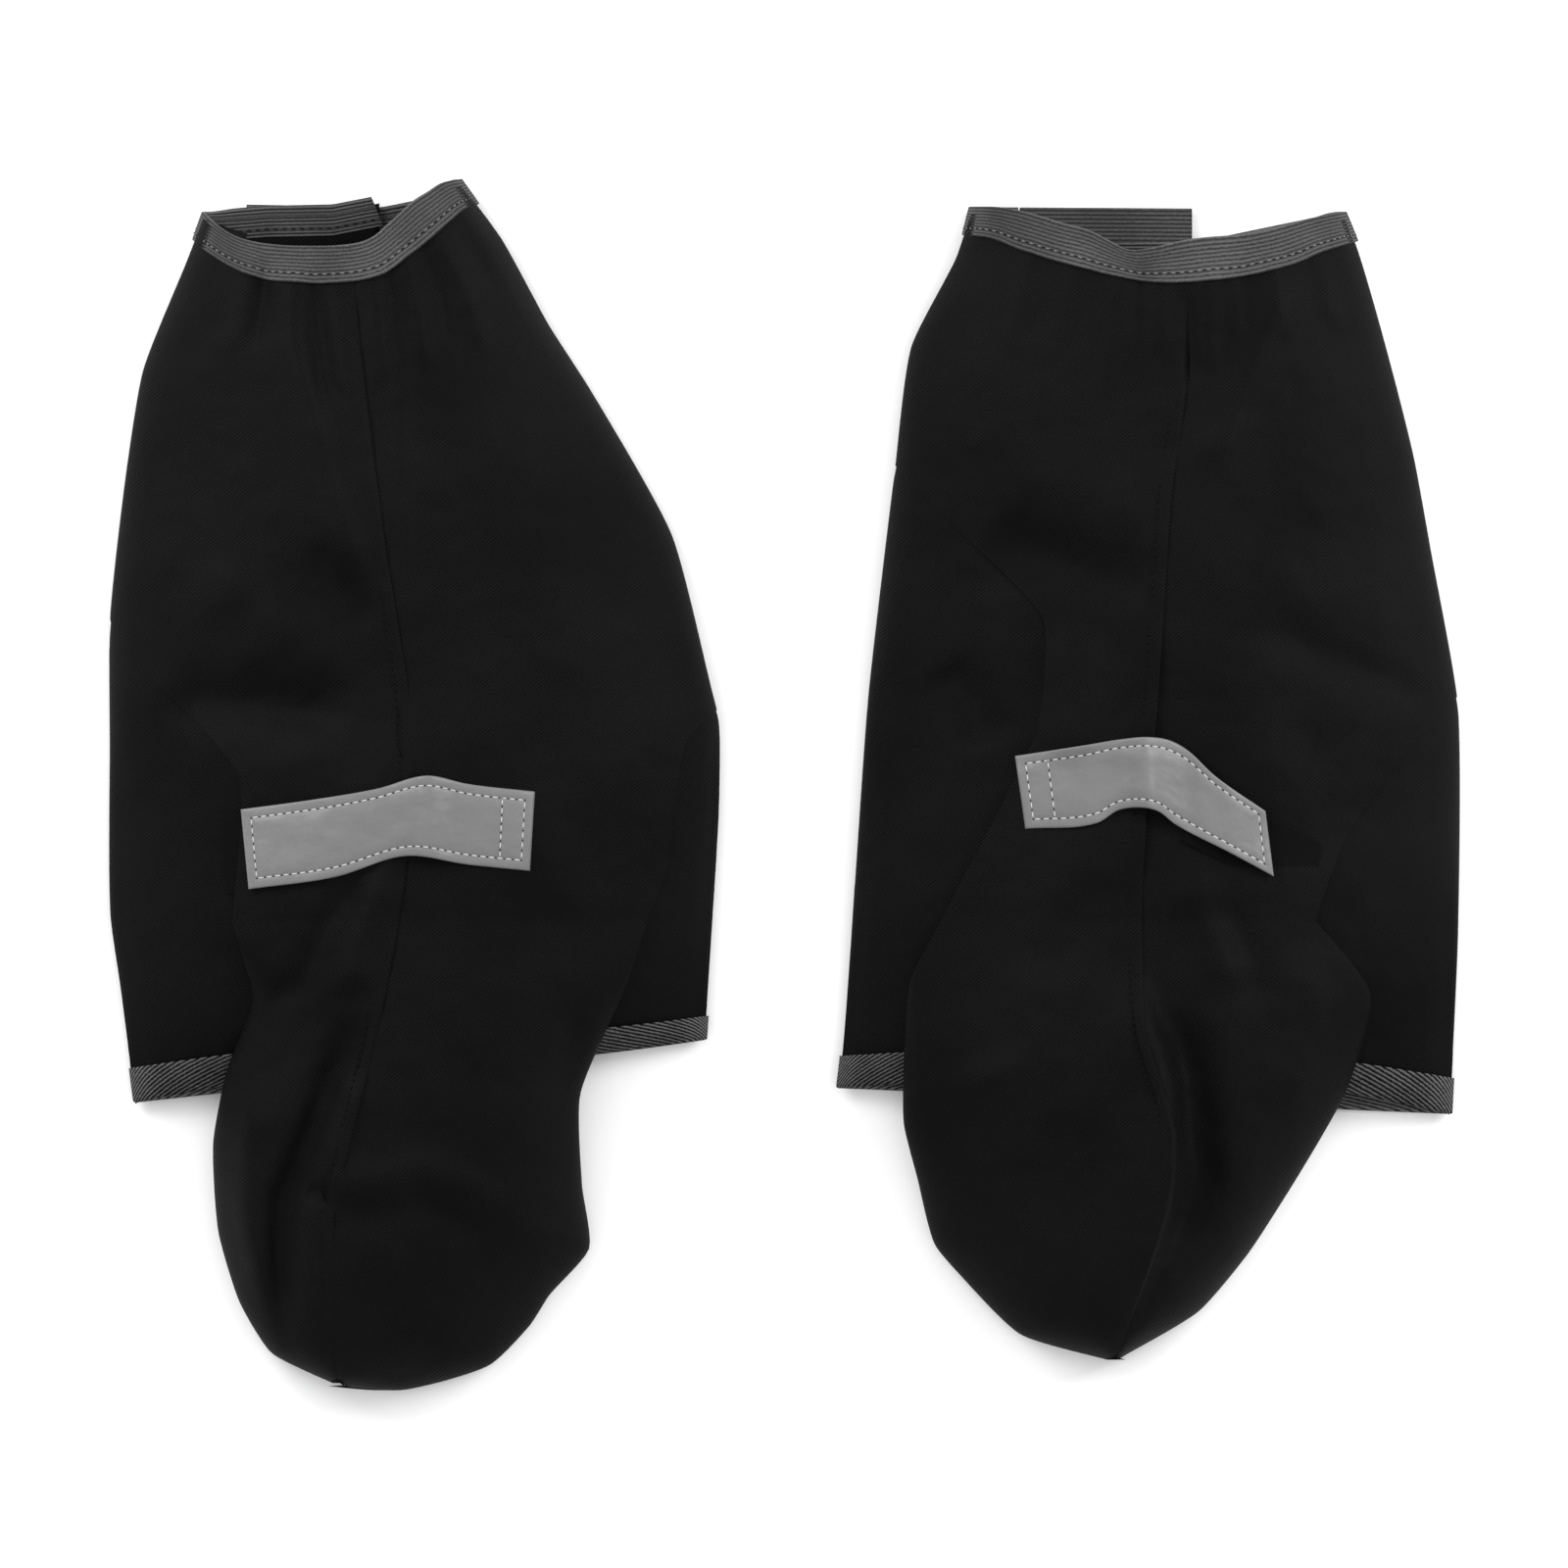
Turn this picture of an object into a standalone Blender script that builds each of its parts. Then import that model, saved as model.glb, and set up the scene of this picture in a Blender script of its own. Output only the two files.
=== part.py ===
"""A pair of waterproof riding gaiters with half soles, lying side by side on their backs.

Each gaiter is a leg sleeve that wraps shut at the back, an elastic collar, a taped heel hem, a hood
with a half sole for the toes and a reflective strap over the instep. The leg runs along +Y, the toes
point to -Y and the front of the leg looks up. Lengths are in millimetres until they reach a mesh.
"""

import math

import bmesh
import bpy
import numpy as np
from mathutils import Matrix, Vector

MM = 0.001

# Thicknesses and clearances
FABRIC = 0.8
TAPE = 0.7
STRAP = 1.4
PATCH = 0.8
GAP = 0.3
TAPE_REACH = FABRIC / 2 + 1.8 * GAP + TAPE / 2  # from the fabric's middle to the middle of a tape's layer

# Widths of what is cut from a roll
COLLAR_WIDTH = 14.0
HEM_WIDTH = 12.0
CLOSURE_WIDTH = 25.0
STRAP_BOX = 13.0  # the stitched end of the instep strap

# Heights of the lying sleeve
SIDE_FOLD = 4.0  # middle of the fold at each side
FOLD_REACH = 10.0  # how far in from the fold its rounding ends
FOLD_RISE = 4.0
COLLAR_LOFT, LEG_LOFT, HEM_LOFT = 29.0, 41.0, 5.0
LAP_LIFT = FABRIC + 2 * PATCH + 3 * GAP  # the inner lap lies on the rear flap and both closure strips
END_LIFT = TAPE_REACH + TAPE / 2 - FABRIC / 2  # the sleeve's taped ends stand this much off the floor
ARCH = 0.7
SEAM_TAPE_DROP = 2.0  # the tape is welded to the inside of the seam

# Where the toe hood bends up from the leg
HINGE_ROW = 0.8
HINGE_Y = -52.0
HINGE_Z = SIDE_FOLD + FOLD_RISE + LEG_LOFT + FABRIC

SOLE_START_Y = -96.0
HOOD_EDGE = ((-52.0, None), (-80.0, 21.0), (-126.0, 16.0), (-165.0, 1.9), (-240.0, 1.9))

BLACK_FABRIC = ("black_fabric", (0.012, 0.012, 0.013), 0.75)
GREY_ELASTIC = ("grey_elastic", (0.08, 0.08, 0.08), 0.85)
TWILL_TAPE = ("twill_tape", (0.11, 0.11, 0.11), 0.85)
REFLECTIVE = ("reflective_tape", (0.28, 0.28, 0.28), 0.45)
HOOK_LOOP = ("hook_and_loop", (0.01, 0.01, 0.01), 0.95)
SEAM_TAPE = ("seam_tape", (0.04, 0.04, 0.045), 0.4)
GRIP_SOLE = ("grip_sole", (0.02, 0.02, 0.02), 0.6)

# Each outline is a list of (x, y) points down from the collar. Side -1 is towards -X, side 1 towards +X.
LEFT_BOOT = {
    "name": "left",
    "inner": 1,
    "seam": [(-165.5, 204.5), (-151.8, 89.0), (-141.5, 3.5), (-151.8, -79.0), (-171.6, -159.5),
             (-170.6, -230.5)],
    "edge": {
        -1: [(-222.5, 218.5), (-236.0, 186.0), (-245.6, 158.5), (-258.2, 64.5), (-258.0, -50.5),
             (-248.6, -120.5)],
        1: [(-123.5, 231.0), (-117.0, 222.0), (-90.0, 176.0), (-43.0, 95.5), (-25.0, 29.0),
            (-25.0, -11.0), (-30.4, -96.5)],
    },
    "back_top": {
        -1: [(-222.5, 218.5), (-155.0, 222.0)],
        1: [(-206.0, 221.0), (-139.0, 222.0), (-123.5, 231.0)],
    },
    "hood": {
        -1: [(-211.0, -52.0), (-203.0, -82.0), (-213.4, -110.0), (-218.6, -137.0), (-216.8, -171.5),
             (-208.5, -199.0), (-196.5, -218.0), (-181.0, -226.0), (-170.6, -230.5)],
        1: [(-52.0, -52.0), (-61.0, -79.0), (-78.0, -120.0), (-77.5, -160.0), (-74.6, -178.0),
            (-90.0, -195.5), (-112.5, -222.5), (-146.5, -231.5), (-170.6, -230.5)],
    },
    "lap_edge": -155.0,
    "flap_hinge": -139.0,
    "flap_edge": -206.0,
    "strap_top": [(-95.0, -3.0), (-120.5, 0.0), (-136.5, 3.2), (-155.5, -2.0), (-207.5, -9.7)],
    "strap_bottom": [(-97.0, -33.0), (-120.5, -31.0), (-144.5, -27.5), (-171.0, -35.5), (-204.5, -40.2)],
    "loop_patch": [(-165.0, -8.0), (-162.0, -38.0), (-216.0, -13.0), (-213.0, -43.0)],
}
RIGHT_BOOT = {
    "name": "right",
    "inner": -1,
    "seam": [(156.2, 202.5), (145.2, 68.5), (136.6, -51.5), (149.6, -133.5), (126.4, -221.5)],
    "edge": {
        -1: [(71.5, 220.5), (67.5, 208.0), (48.8, 168.0), (42.4, 120.0), (32.3, 34.0), (21.2, -115.0)],
        1: [(215.0, 218.5), (219.8, 207.0), (241.0, 127.0), (258.2, 31.0), (258.2, -58.0), (255.0, -125.0)],
    },
    "back_top": {-1: [(71.5, 220.5), (157.0, 219.5)], 1: [(105.0, 207.0), (160.0, 207.0), (215.0, 218.5)]},
    "hood": {
        -1: [(60.0, -52.0), (48.4, -75.5), (45.8, -106.0), (45.8, -130.0), (57.8, -176.5),
             (66.4, -187.0), (90.4, -211.0), (126.4, -221.5)],
        1: [(203.0, -52.0), (224.6, -80.5), (215.6, -116.5), (177.8, -180.0), (159.0, -202.0),
            (126.4, -221.5)],
    },
    "lap_edge": 105.0,
    "flap_hinge": 90.0,
    "flap_edge": 156.4,
    "strap_top": [(88.2, 10.7), (115.0, 14.8), (138.6, 17.9), (153.2, 13.5), (164.6, 3.0), (183.8, -10.4)],
    "strap_bottom": [(92.1, -17.1), (119.5, -14.9), (136.2, -9.0), (149.2, -15.3), (171.1, -26.7),
                     (187.0, -35.3)],
    "loop_patch": [(163.3, 0.3), (151.6, -21.8), (215.7, -27.4), (204.0, -49.5)],
}


def mix(first, last, share):
    return first + (last - first) * share


def cross_at(points, y):
    """The x of an outline at a height y on it."""
    rising = sorted(points, key=lambda point: point[1])
    return float(np.interp(y, [point[1] for point in rising], [point[0] for point in rising]))


def level_at(points, x):
    """The y of a line that runs across, at x."""
    rising = sorted(points)
    return float(np.interp(x, [point[0] for point in rising], [point[1] for point in rising]))


def walk(points, share):
    """The point at a share of an outline's length."""
    corners = np.array(points)
    length = np.concatenate([[0.0], np.cumsum(np.linalg.norm(np.diff(corners, axis=0), axis=1))])
    reach = share * length[-1]
    return np.array([np.interp(reach, length, corners[:, 0]), np.interp(reach, length, corners[:, 1])])


def row_height(top, bottom, row):
    """The y of a row of the sleeve: straight across at the hinge, on the hem's slope at the bottom."""
    return float(np.interp(row, [0.0, HINGE_ROW, 1.0], [top, HINGE_Y, bottom]))


def loft(row):
    """How high the front of the sleeve stands over its side folds."""
    if row <= HINGE_ROW:
        rise = math.sin(math.pi / 2 * min(row / 0.35, 1.0))
        return mix(COLLAR_LOFT, LEG_LOFT, rise)
    fall = (1.0 - row) / (1.0 - HINGE_ROW)
    return mix(HEM_LOFT, LEG_LOFT, fall**4)


def end_lift(y, top, bottom):
    """The taped ends lie on their tapes, so the fabric between the tapes' layers is off the floor."""
    near = min(top - y, y - bottom) / (1.8 * COLLAR_WIDTH)
    return END_LIFT * float(np.clip(2.0 - 2.0 * near, 0.0, 1.0))


def fold_share(boot, side):
    """How far out across the front the toe hood's edge leaves the leg, from seam 0 to side fold 1."""
    seam_x = cross_at(boot["seam"], HINGE_Y)
    return (boot["hood"][side][0][0] - seam_x) / (cross_at(boot["edge"][side], HINGE_Y) - seam_x)


def front_rise(share, width, height):
    """The height of the front at a share of the way from the seam to the side fold."""
    turn = max(0.0, 1.0 - (1.0 - share) * width / FOLD_REACH)
    return SIDE_FOLD + FOLD_RISE * math.sqrt(1.0 - turn**2) + height * (1.0 - share**2) ** ARCH


def front_point(boot, side, share, row):
    """A point of the sleeve's front: share 0 is the front seam and 1 the side fold."""
    edge = boot["edge"][side]
    edge_y = row_height(edge[0][1], edge[-1][1], row)
    seam_y = row_height(boot["seam"][0][1], 0.5 * (boot["edge"][-1][-1][1] + boot["edge"][1][-1][1]), row)
    seam_x, edge_x = cross_at(boot["seam"], seam_y), cross_at(edge, edge_y)
    y = mix(seam_y, edge_y, share**1.6)
    return np.array([mix(seam_x, edge_x, share), y, front_rise(share, abs(edge_x - seam_x), loft(row))])


def back_point(boot, side, x, row):
    """A point of the sleeve's back at x, which lies on the floor or on the rear flap."""
    edge = boot["edge"][side]
    edge_y = row_height(edge[0][1], edge[-1][1], row)
    edge_x = cross_at(edge, edge_y)
    down = (edge[0][1] - edge_y) / (edge[0][1] - edge[-1][1])
    hem = [boot["edge"][-1][-1], boot["edge"][1][-1]]
    top, bottom = level_at(boot["back_top"][side], x), level_at(hem, x)
    y = mix(top, bottom, down)
    z = FABRIC / 2 + end_lift(y, top, bottom)
    if side != boot["inner"]:
        z += LAP_LIFT * float(np.clip((side * (boot["flap_edge"] - x) + 60.0) / 30.0, 0.0, 1.0))
    turn = max(0.0, 1.0 - abs(x - edge_x) / FOLD_REACH)
    return np.array([x, y, mix(z, SIDE_FOLD, 1.0 - math.sqrt(1.0 - turn**2))])


def sleeve_point(boot, side, girth, row):
    """A point of one side panel: girth 0 at the front seam, 0.5 at the side fold, 1 at the rear edge."""
    if girth <= 0.5:
        return front_point(boot, side, math.sin(math.pi * girth), row)
    edge = boot["edge"][side]
    edge_x = cross_at(edge, row_height(edge[0][1], edge[-1][1], row))
    rear_x = boot["flap_hinge"] + side * GAP if side == boot["inner"] else boot["lap_edge"]
    across = 1.0 - math.sin(math.pi * girth)
    return back_point(boot, side, mix(edge_x, rear_x, across), row)


def flap_point(boot, share, row):
    x = mix(boot["flap_hinge"], boot["flap_edge"], share)
    return back_point(boot, boot["inner"], x, row)


def front_height(boot, x, y):
    """How high the sleeve's front stands at a place above the hinge."""
    side = 1 if x > cross_at(boot["seam"], y) else -1
    seam_x, edge_x = cross_at(boot["seam"], y), cross_at(boot["edge"][side], y)
    share = min(abs((x - seam_x) / (edge_x - seam_x)), 1.0)
    row = HINGE_ROW * (boot["seam"][0][1] - y) / (boot["seam"][0][1] - HINGE_Y)
    return front_rise(share, abs(edge_x - seam_x), loft(min(row, HINGE_ROW)))


def hood_edge_height(boot, side, y):
    hinge_edge = SIDE_FOLD + FOLD_RISE + LEG_LOFT * (1.0 - fold_share(boot, side) ** 2) ** ARCH
    heights = [hinge_edge if height is None else height for _, height in HOOD_EDGE]
    return float(np.interp(-y, [-place for place, _ in HOOD_EDGE], heights))


def hood_point(boot, side, share, reach):
    """A point of the toe hood: share 0 at the seam, 1 at its edge; reach 0 at the hinge, 1 at the tip."""
    seam = [(cross_at(boot["seam"], HINGE_Y), HINGE_Y)] + [p for p in boot["seam"] if p[1] < HINGE_Y]
    x, y = mix(walk(seam, reach), walk(boot["hood"][side], reach), share)
    x += side * 2 * GAP * (1.0 - share)
    edge = hood_edge_height(boot, side, y)
    crown = SIDE_FOLD + FOLD_RISE + LEG_LOFT * math.sqrt(1.0 - reach**3)
    rise = max(crown - edge, 0.0) * (1.0 - share**2) ** ARCH
    return np.array([x, y - 2 * GAP * (1.0 - reach), edge + rise])


def sole_point(boot, across, reach):
    """A point of the half sole: across runs from -1 to 1 between the hood's two edges."""
    side = -1 if across < 0 else 1
    x, y, _ = hood_point(boot, side, abs(across), reach)
    low = min(hood_edge_height(boot, -1, y), hood_edge_height(boot, 1, y))
    return np.array([x, y, low - FABRIC - 2 * GAP])


def sole_start(boot):
    """The reach along the hood at which the half sole begins."""
    reaches = np.linspace(0.0, 1.0, 101)
    heights = [hood_point(boot, 1, 0.0, reach)[1] for reach in reaches]
    return float(np.interp(-SOLE_START_Y, [-height for height in heights], reaches))


def material(finish):
    name, colour, roughness = finish
    made = bpy.data.materials.get(name)
    if made is None:
        made = bpy.data.materials.new(name)
        made.use_nodes = True
        shader = made.node_tree.nodes["Principled BSDF"]
        shader.inputs["Base Color"].default_value = (*colour, 1.0)
        shader.inputs["Roughness"].default_value = roughness
    return made


def own_material(name, finish):
    """Each piece has its own copy of its finish."""
    made = material(finish).copy()
    made.name = name
    return made


def grid_piece(name, place, columns, rows, thickness, finish, keep=None):
    """A sheet through place(column, row), thickened evenly about its middle."""
    grid = bmesh.new()
    across, down = len(columns) - 1, len(rows) - 1
    bmesh.ops.create_grid(grid, x_segments=across, y_segments=down, size=0.5)
    if keep:
        cut = []
        for face in grid.faces:
            middle = face.calc_center_median()
            column = np.interp((middle.x + 0.5) * across, range(across + 1), columns)
            row = np.interp((middle.y + 0.5) * down, range(down + 1), rows)
            if not keep(column, row):
                cut.append(face)
        bmesh.ops.delete(grid, geom=cut, context="FACES")
    for vert in grid.verts:
        column = columns[round((vert.co.x + 0.5) * across)]
        row = rows[round((vert.co.y + 0.5) * down)]
        vert.co = Vector(place(column, row)) * MM
    bmesh.ops.remove_doubles(grid, verts=grid.verts, dist=1e-6)
    mesh = bpy.data.meshes.new(name)
    grid.to_mesh(mesh)
    grid.free()
    piece = bpy.data.objects.new(name, mesh)
    parts.objects.link(piece)
    mesh.materials.append(own_material(name, finish))
    solid = piece.modifiers.new("Thickness", "SOLIDIFY")
    solid.thickness = thickness * MM
    solid.offset = 0.0
    solid.use_even_offset = True
    return piece


def folded_tape(name, surface, edge_row, inner_row, columns, width, finish):
    """Tape folded over the edge of surface(column, row) at edge_row; inner_row lies in the cloth."""
    profile = [(width, 1.0), (0.5 * width, 1.0), (0.6, 1.0), (-1.2, 0.45), (-1.2, -0.45), (0.6, -1.0),
               (0.5 * width, -1.0), (width, -1.0)]
    into_row = 1.0 if inner_row > edge_row else -1.0

    def facet(first, row):
        run = surface(columns[first + 1], row) - surface(columns[first], row)
        cloth = surface(columns[first], row + into_row * 0.01) - surface(columns[first], row)
        normal = np.cross(run, cloth)
        return normal / np.linalg.norm(normal)

    def place(column, corner):
        depth, layer = profile[int(corner)]
        index = columns.index(column)
        start = surface(column, edge_row)
        cloth = surface(column, inner_row) - start
        length = np.linalg.norm(cloth)
        row = edge_row + (inner_row - edge_row) / length * max(depth, 0.0)
        before, after = facet(max(index - 1, 0), row), facet(min(index, len(columns) - 2), row)
        mitre = (before + after) / (1.0 + before @ after)
        return surface(column, row) + cloth / length * min(depth, 0.0) + mitre * layer * TAPE_REACH

    return grid_piece(name, place, columns, list(range(len(profile))), TAPE, finish)


def steps(first, last, count):
    return list(np.linspace(first, last, count + 1))


def girth_steps(boot, side):
    """Columns of a side panel, with one where the toe hood's edge leaves the leg."""
    corner = math.asin(fold_share(boot, side)) / math.pi
    return steps(0.002, corner, 4) + steps(corner, 0.5, 5)[1:] + steps(0.5, 1.0, 6)[1:]


def make_side_panel(boot, side, name):
    corner = math.asin(fold_share(boot, side)) / math.pi
    rows = [0.004, 0.024, 0.048, 0.1, 0.2, 0.35, 0.5, 0.65, HINGE_ROW, 0.83, 0.87, 0.92, 0.96, 0.99]

    def keep(girth, row):
        return row < HINGE_ROW or girth > corner

    def place(girth, row):
        return sleeve_point(boot, side, girth, row)

    return grid_piece(name, place, girth_steps(boot, side), rows, FABRIC, BLACK_FABRIC, keep)


def make_collar(boot, name):
    around = [-place for place in reversed(girth_steps(boot, -1))] + girth_steps(boot, 1)

    def ring(place, row):
        return sleeve_point(boot, -1 if place < 0 else 1, abs(place), row)

    return folded_tape(name, ring, 0.0, 0.03, around, COLLAR_WIDTH, GREY_ELASTIC)


def make_hem(boot, side, name):
    corner = math.asin(fold_share(boot, side)) / math.pi
    columns = [place for place in girth_steps(boot, side) if place > corner - 0.001]

    def panel(place, row):
        return sleeve_point(boot, side, place, row)

    return folded_tape(name, panel, 1.0, 0.97, columns, HEM_WIDTH, TWILL_TAPE)


def make_leg(boot):
    name, inner = boot["name"], boot["inner"]
    made = [
        make_side_panel(boot, inner, f"{name}_inner_leg_panel"),
        make_side_panel(boot, -inner, f"{name}_outer_leg_panel"),
        make_collar(boot, f"{name}_collar_elastic"),
        make_hem(boot, inner, f"{name}_inner_hem_tape"),
        make_hem(boot, -inner, f"{name}_outer_hem_tape"),
    ]

    def under_seam(share, row):
        x, y, z = front_point(boot, 1 if share > 0 else -1, abs(share), row)
        return np.array([x, y, z - SEAM_TAPE_DROP])

    tape_rows = [0.08, 0.15, 0.25, 0.37, 0.5, 0.65, 0.79]
    made.append(
        grid_piece(f"{name}_front_seam_tape", under_seam, [-0.1, 0.0, 0.1], tape_rows, PATCH / 2, SEAM_TAPE)
    )

    loop_x = boot["lap_edge"] - inner * 6.0

    def loop_strip(across, row):
        x, y, z = back_point(boot, -inner, loop_x - inner * across, row)
        return np.array([x, y, z - (FABRIC + PATCH) / 2 - GAP])

    strip_rows = steps(0.1, 0.86, 4)
    made.append(
        grid_piece(f"{name}_rear_loop_strip", loop_strip, [0.0, CLOSURE_WIDTH], strip_rows, PATCH, HOOK_LOOP)
    )
    top_near, bottom_near, top_far, bottom_far = (np.array(corner) for corner in boot["loop_patch"])

    def loop_patch(along, across):
        x, y = mix(mix(top_near, top_far, along), mix(bottom_near, bottom_far, along), across)
        return np.array([x, y, front_height(boot, x, y) + (FABRIC + PATCH) / 2 + GAP])

    made.append(
        grid_piece(f"{name}_strap_loop_patch", loop_patch, steps(0, 1, 6), steps(0, 1, 3), PATCH, HOOK_LOOP)
    )
    return made


def make_toe(boot):
    name, inner = boot["name"], boot["inner"]
    made = []
    start = sole_start(boot)
    sole_reaches = [start, start + 0.03, start + 0.08, 0.45, 0.53, 0.6, 0.7, 0.82, 0.9, 0.95, 0.985, 1.0]
    reaches = [0.0, 0.08, 0.16] + sole_reaches
    shares = [0.003, 0.2, 0.4, 0.6, 0.75, 0.88, 0.96, 1.0]
    for side, label in ((inner, "inner"), (-inner, "outer")):
        made.append(
            grid_piece(
                f"{name}_{label}_toe_panel",
                lambda share, reach, side=side: hood_point(boot, side, share, min(reach, 0.995)),
                shares,
                reaches,
                FABRIC,
                BLACK_FABRIC,
            )
        )
    made.append(
        grid_piece(
            f"{name}_half_sole",
            lambda across, reach: sole_point(boot, across, min(reach, 0.99)),
            [-0.985] + steps(-0.93, 0.93, 6) + [0.985],
            sole_reaches,
            FABRIC,
            GRIP_SOLE,
        )
    )
    made.append(
        folded_tape(
            f"{name}_sole_hem_tape",
            lambda across, reach: sole_point(boot, across, reach),
            start,
            start + 0.03,
            steps(-0.93, 0.93, 6),
            HEM_WIDTH,
            TWILL_TAPE,
        )
    )

    def under_seam(share, reach):
        x, y, z = hood_point(boot, 1 if share > 0 else -1, abs(share), reach)
        return np.array([x, y, z - SEAM_TAPE_DROP])

    tape_reaches = [0.03, 0.08, 0.16, 0.27, 0.4, 0.55, 0.7]
    tape_shares = [-0.16, 0.0, 0.16]
    made.append(
        grid_piece(f"{name}_toe_seam_tape", under_seam, tape_shares, tape_reaches, PATCH / 2, SEAM_TAPE)
    )
    return made


def strap_point(boot, along, across):
    """A point of the instep strap: along runs from the stitched end to the free end."""
    x, y = mix(walk(boot["strap_top"], along), walk(boot["strap_bottom"], along), across)
    over_cloth, over_patches = (FABRIC + STRAP) / 2 + GAP, (FABRIC + STRAP) / 2 + 2 * PATCH + 3 * GAP
    lift = mix(over_cloth, over_patches, min(along * 2.0, 1.0))
    return np.array([x, y, front_height(boot, x, y) + lift])


def strap_box_share(boot):
    corners = np.array(boot["strap_top"])
    return STRAP_BOX / np.linalg.norm(np.diff(corners, axis=0), axis=1).sum()


def make_strap(boot):
    name, box = boot["name"], strap_box_share(boot)

    def place(along, across):
        return strap_point(boot, along, across)

    free = grid_piece(
        f"{name}_instep_strap", place, steps(box + 0.004, 1.0, 14), steps(0, 1, 3), STRAP, REFLECTIVE
    )

    def hook_patch(along, across):
        x, y, z = strap_point(boot, along, across)
        return np.array([x, y, z - (STRAP + PATCH) / 2 - GAP])

    hooks = grid_piece(f"{name}_strap_hook_patch", hook_patch, steps(0.62, 0.96, 5), steps(0.12, 0.88, 2),
                       PATCH, HOOK_LOOP)
    fixed = grid_piece(f"{name}_strap_fixed_end", place, steps(0.0, box - 0.004, 2), steps(0, 1, 3),
                       STRAP, REFLECTIVE)
    return fixed, [free, hooks]


def make_rear_flap(boot):
    name, inner = boot["name"], boot["inner"]
    width = abs(boot["flap_edge"] - boot["flap_hinge"])
    start = GAP / width
    shares, ends = steps(start, 1.0, 6), steps(start, 1.0, 5)
    rows = [0.004, 0.03, 0.08, 0.3, 0.5, 0.7, 0.88, 0.96, 0.995]

    def place(share, row):
        return flap_point(boot, share, row)

    def hook_strip(across, row):
        x, y, z = flap_point(boot, 1.0 - (4.0 + across) / width, row)
        return np.array([x, y, z + (FABRIC + PATCH) / 2 + GAP])

    return [
        grid_piece(f"{name}_rear_flap", place, shares, rows, FABRIC, BLACK_FABRIC),
        grid_piece(f"{name}_rear_hook_strip", hook_strip, [0.0, CLOSURE_WIDTH], steps(0.1, 0.86, 4),
                   PATCH, HOOK_LOOP),
        folded_tape(f"{name}_rear_flap_elastic", place, 0.0, 0.03, ends, COLLAR_WIDTH, GREY_ELASTIC),
        folded_tape(f"{name}_rear_flap_hem_tape", place, 1.0, 0.97, ends, HEM_WIDTH, TWILL_TAPE),
    ]


def hang(pieces, name, place):
    """Parents the pieces of a moving body to an empty on its joint's axis."""
    pivot = bpy.data.objects.new(name, None)
    pivot.location = Vector(place) * MM
    parts.objects.link(pivot)
    for piece in pieces:
        piece.parent = pivot
        piece.matrix_parent_inverse = Matrix.Translation(-pivot.location)


def strap_pivot(boot):
    box = strap_box_share(boot)
    middle = strap_point(boot, box, 0.5)
    return (middle[0], middle[1], middle[2] + STRAP / 2)


for old in list(bpy.data.objects):
    bpy.data.objects.remove(old)
parts = bpy.data.collections.new("riding_gaiters")
bpy.context.scene.collection.children.link(parts)

for gaiter in (LEFT_BOOT, RIGHT_BOOT):
    label = gaiter["name"]
    make_leg(gaiter)
    hang(make_toe(gaiter), f"{label}_toe_fold", (cross_at(gaiter["seam"], HINGE_Y), HINGE_Y, HINGE_Z))
    fixed_end, free_strap = make_strap(gaiter)
    hang(free_strap, f"{label}_strap_peel", strap_pivot(gaiter))
    hang(make_rear_flap(gaiter), f"{label}_rear_flap_swing", (gaiter["flap_hinge"], 50.0, 0.0))
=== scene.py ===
import bmesh
import bpy
import numpy as np
from mathutils import Matrix, Vector, noise


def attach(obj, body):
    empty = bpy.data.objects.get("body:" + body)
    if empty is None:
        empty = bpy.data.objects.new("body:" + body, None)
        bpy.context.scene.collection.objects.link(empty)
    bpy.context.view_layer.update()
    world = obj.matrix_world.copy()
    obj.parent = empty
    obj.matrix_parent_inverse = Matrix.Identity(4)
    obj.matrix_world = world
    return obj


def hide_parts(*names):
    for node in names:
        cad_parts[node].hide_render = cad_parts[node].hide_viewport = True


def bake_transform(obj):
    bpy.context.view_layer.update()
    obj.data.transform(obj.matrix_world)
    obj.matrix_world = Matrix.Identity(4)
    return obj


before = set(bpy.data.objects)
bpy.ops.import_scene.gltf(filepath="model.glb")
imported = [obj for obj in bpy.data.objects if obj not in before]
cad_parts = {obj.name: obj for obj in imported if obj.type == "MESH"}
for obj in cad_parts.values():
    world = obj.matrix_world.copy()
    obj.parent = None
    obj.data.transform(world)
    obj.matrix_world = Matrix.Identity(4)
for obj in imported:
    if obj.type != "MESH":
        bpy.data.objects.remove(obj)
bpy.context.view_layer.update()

# The table and the lights.
# The pair lies on a plain white table between two broad soft lamps, under an even white sky, and is looked
# at from straight above.
VIEW_HEIGHT, VIEW_WIDTH, CLOTH_TOP = 12.0, 0.6, 0.02
WHITE = (1.0, 1.0, 1.0, 1.0)
scene = bpy.context.scene
scene.view_settings.view_transform = "Standard"
camera_data = bpy.data.cameras.new("camera")
camera_data.sensor_width = 36.0
camera_data.lens = camera_data.sensor_width * (VIEW_HEIGHT - CLOTH_TOP) / VIEW_WIDTH
camera_data.clip_end = 30.0
camera = bpy.data.objects.new("camera", camera_data)
camera.location = (0.0, 0.0, VIEW_HEIGHT)
scene.collection.objects.link(camera)
scene.camera = camera
scene.world = scene.world or bpy.data.worlds.new("studio")
scene.world.use_nodes = True
sky = scene.world.node_tree.nodes["Background"]
sky.inputs["Color"].default_value = WHITE
sky.inputs["Strength"].default_value = 0.95


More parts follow.
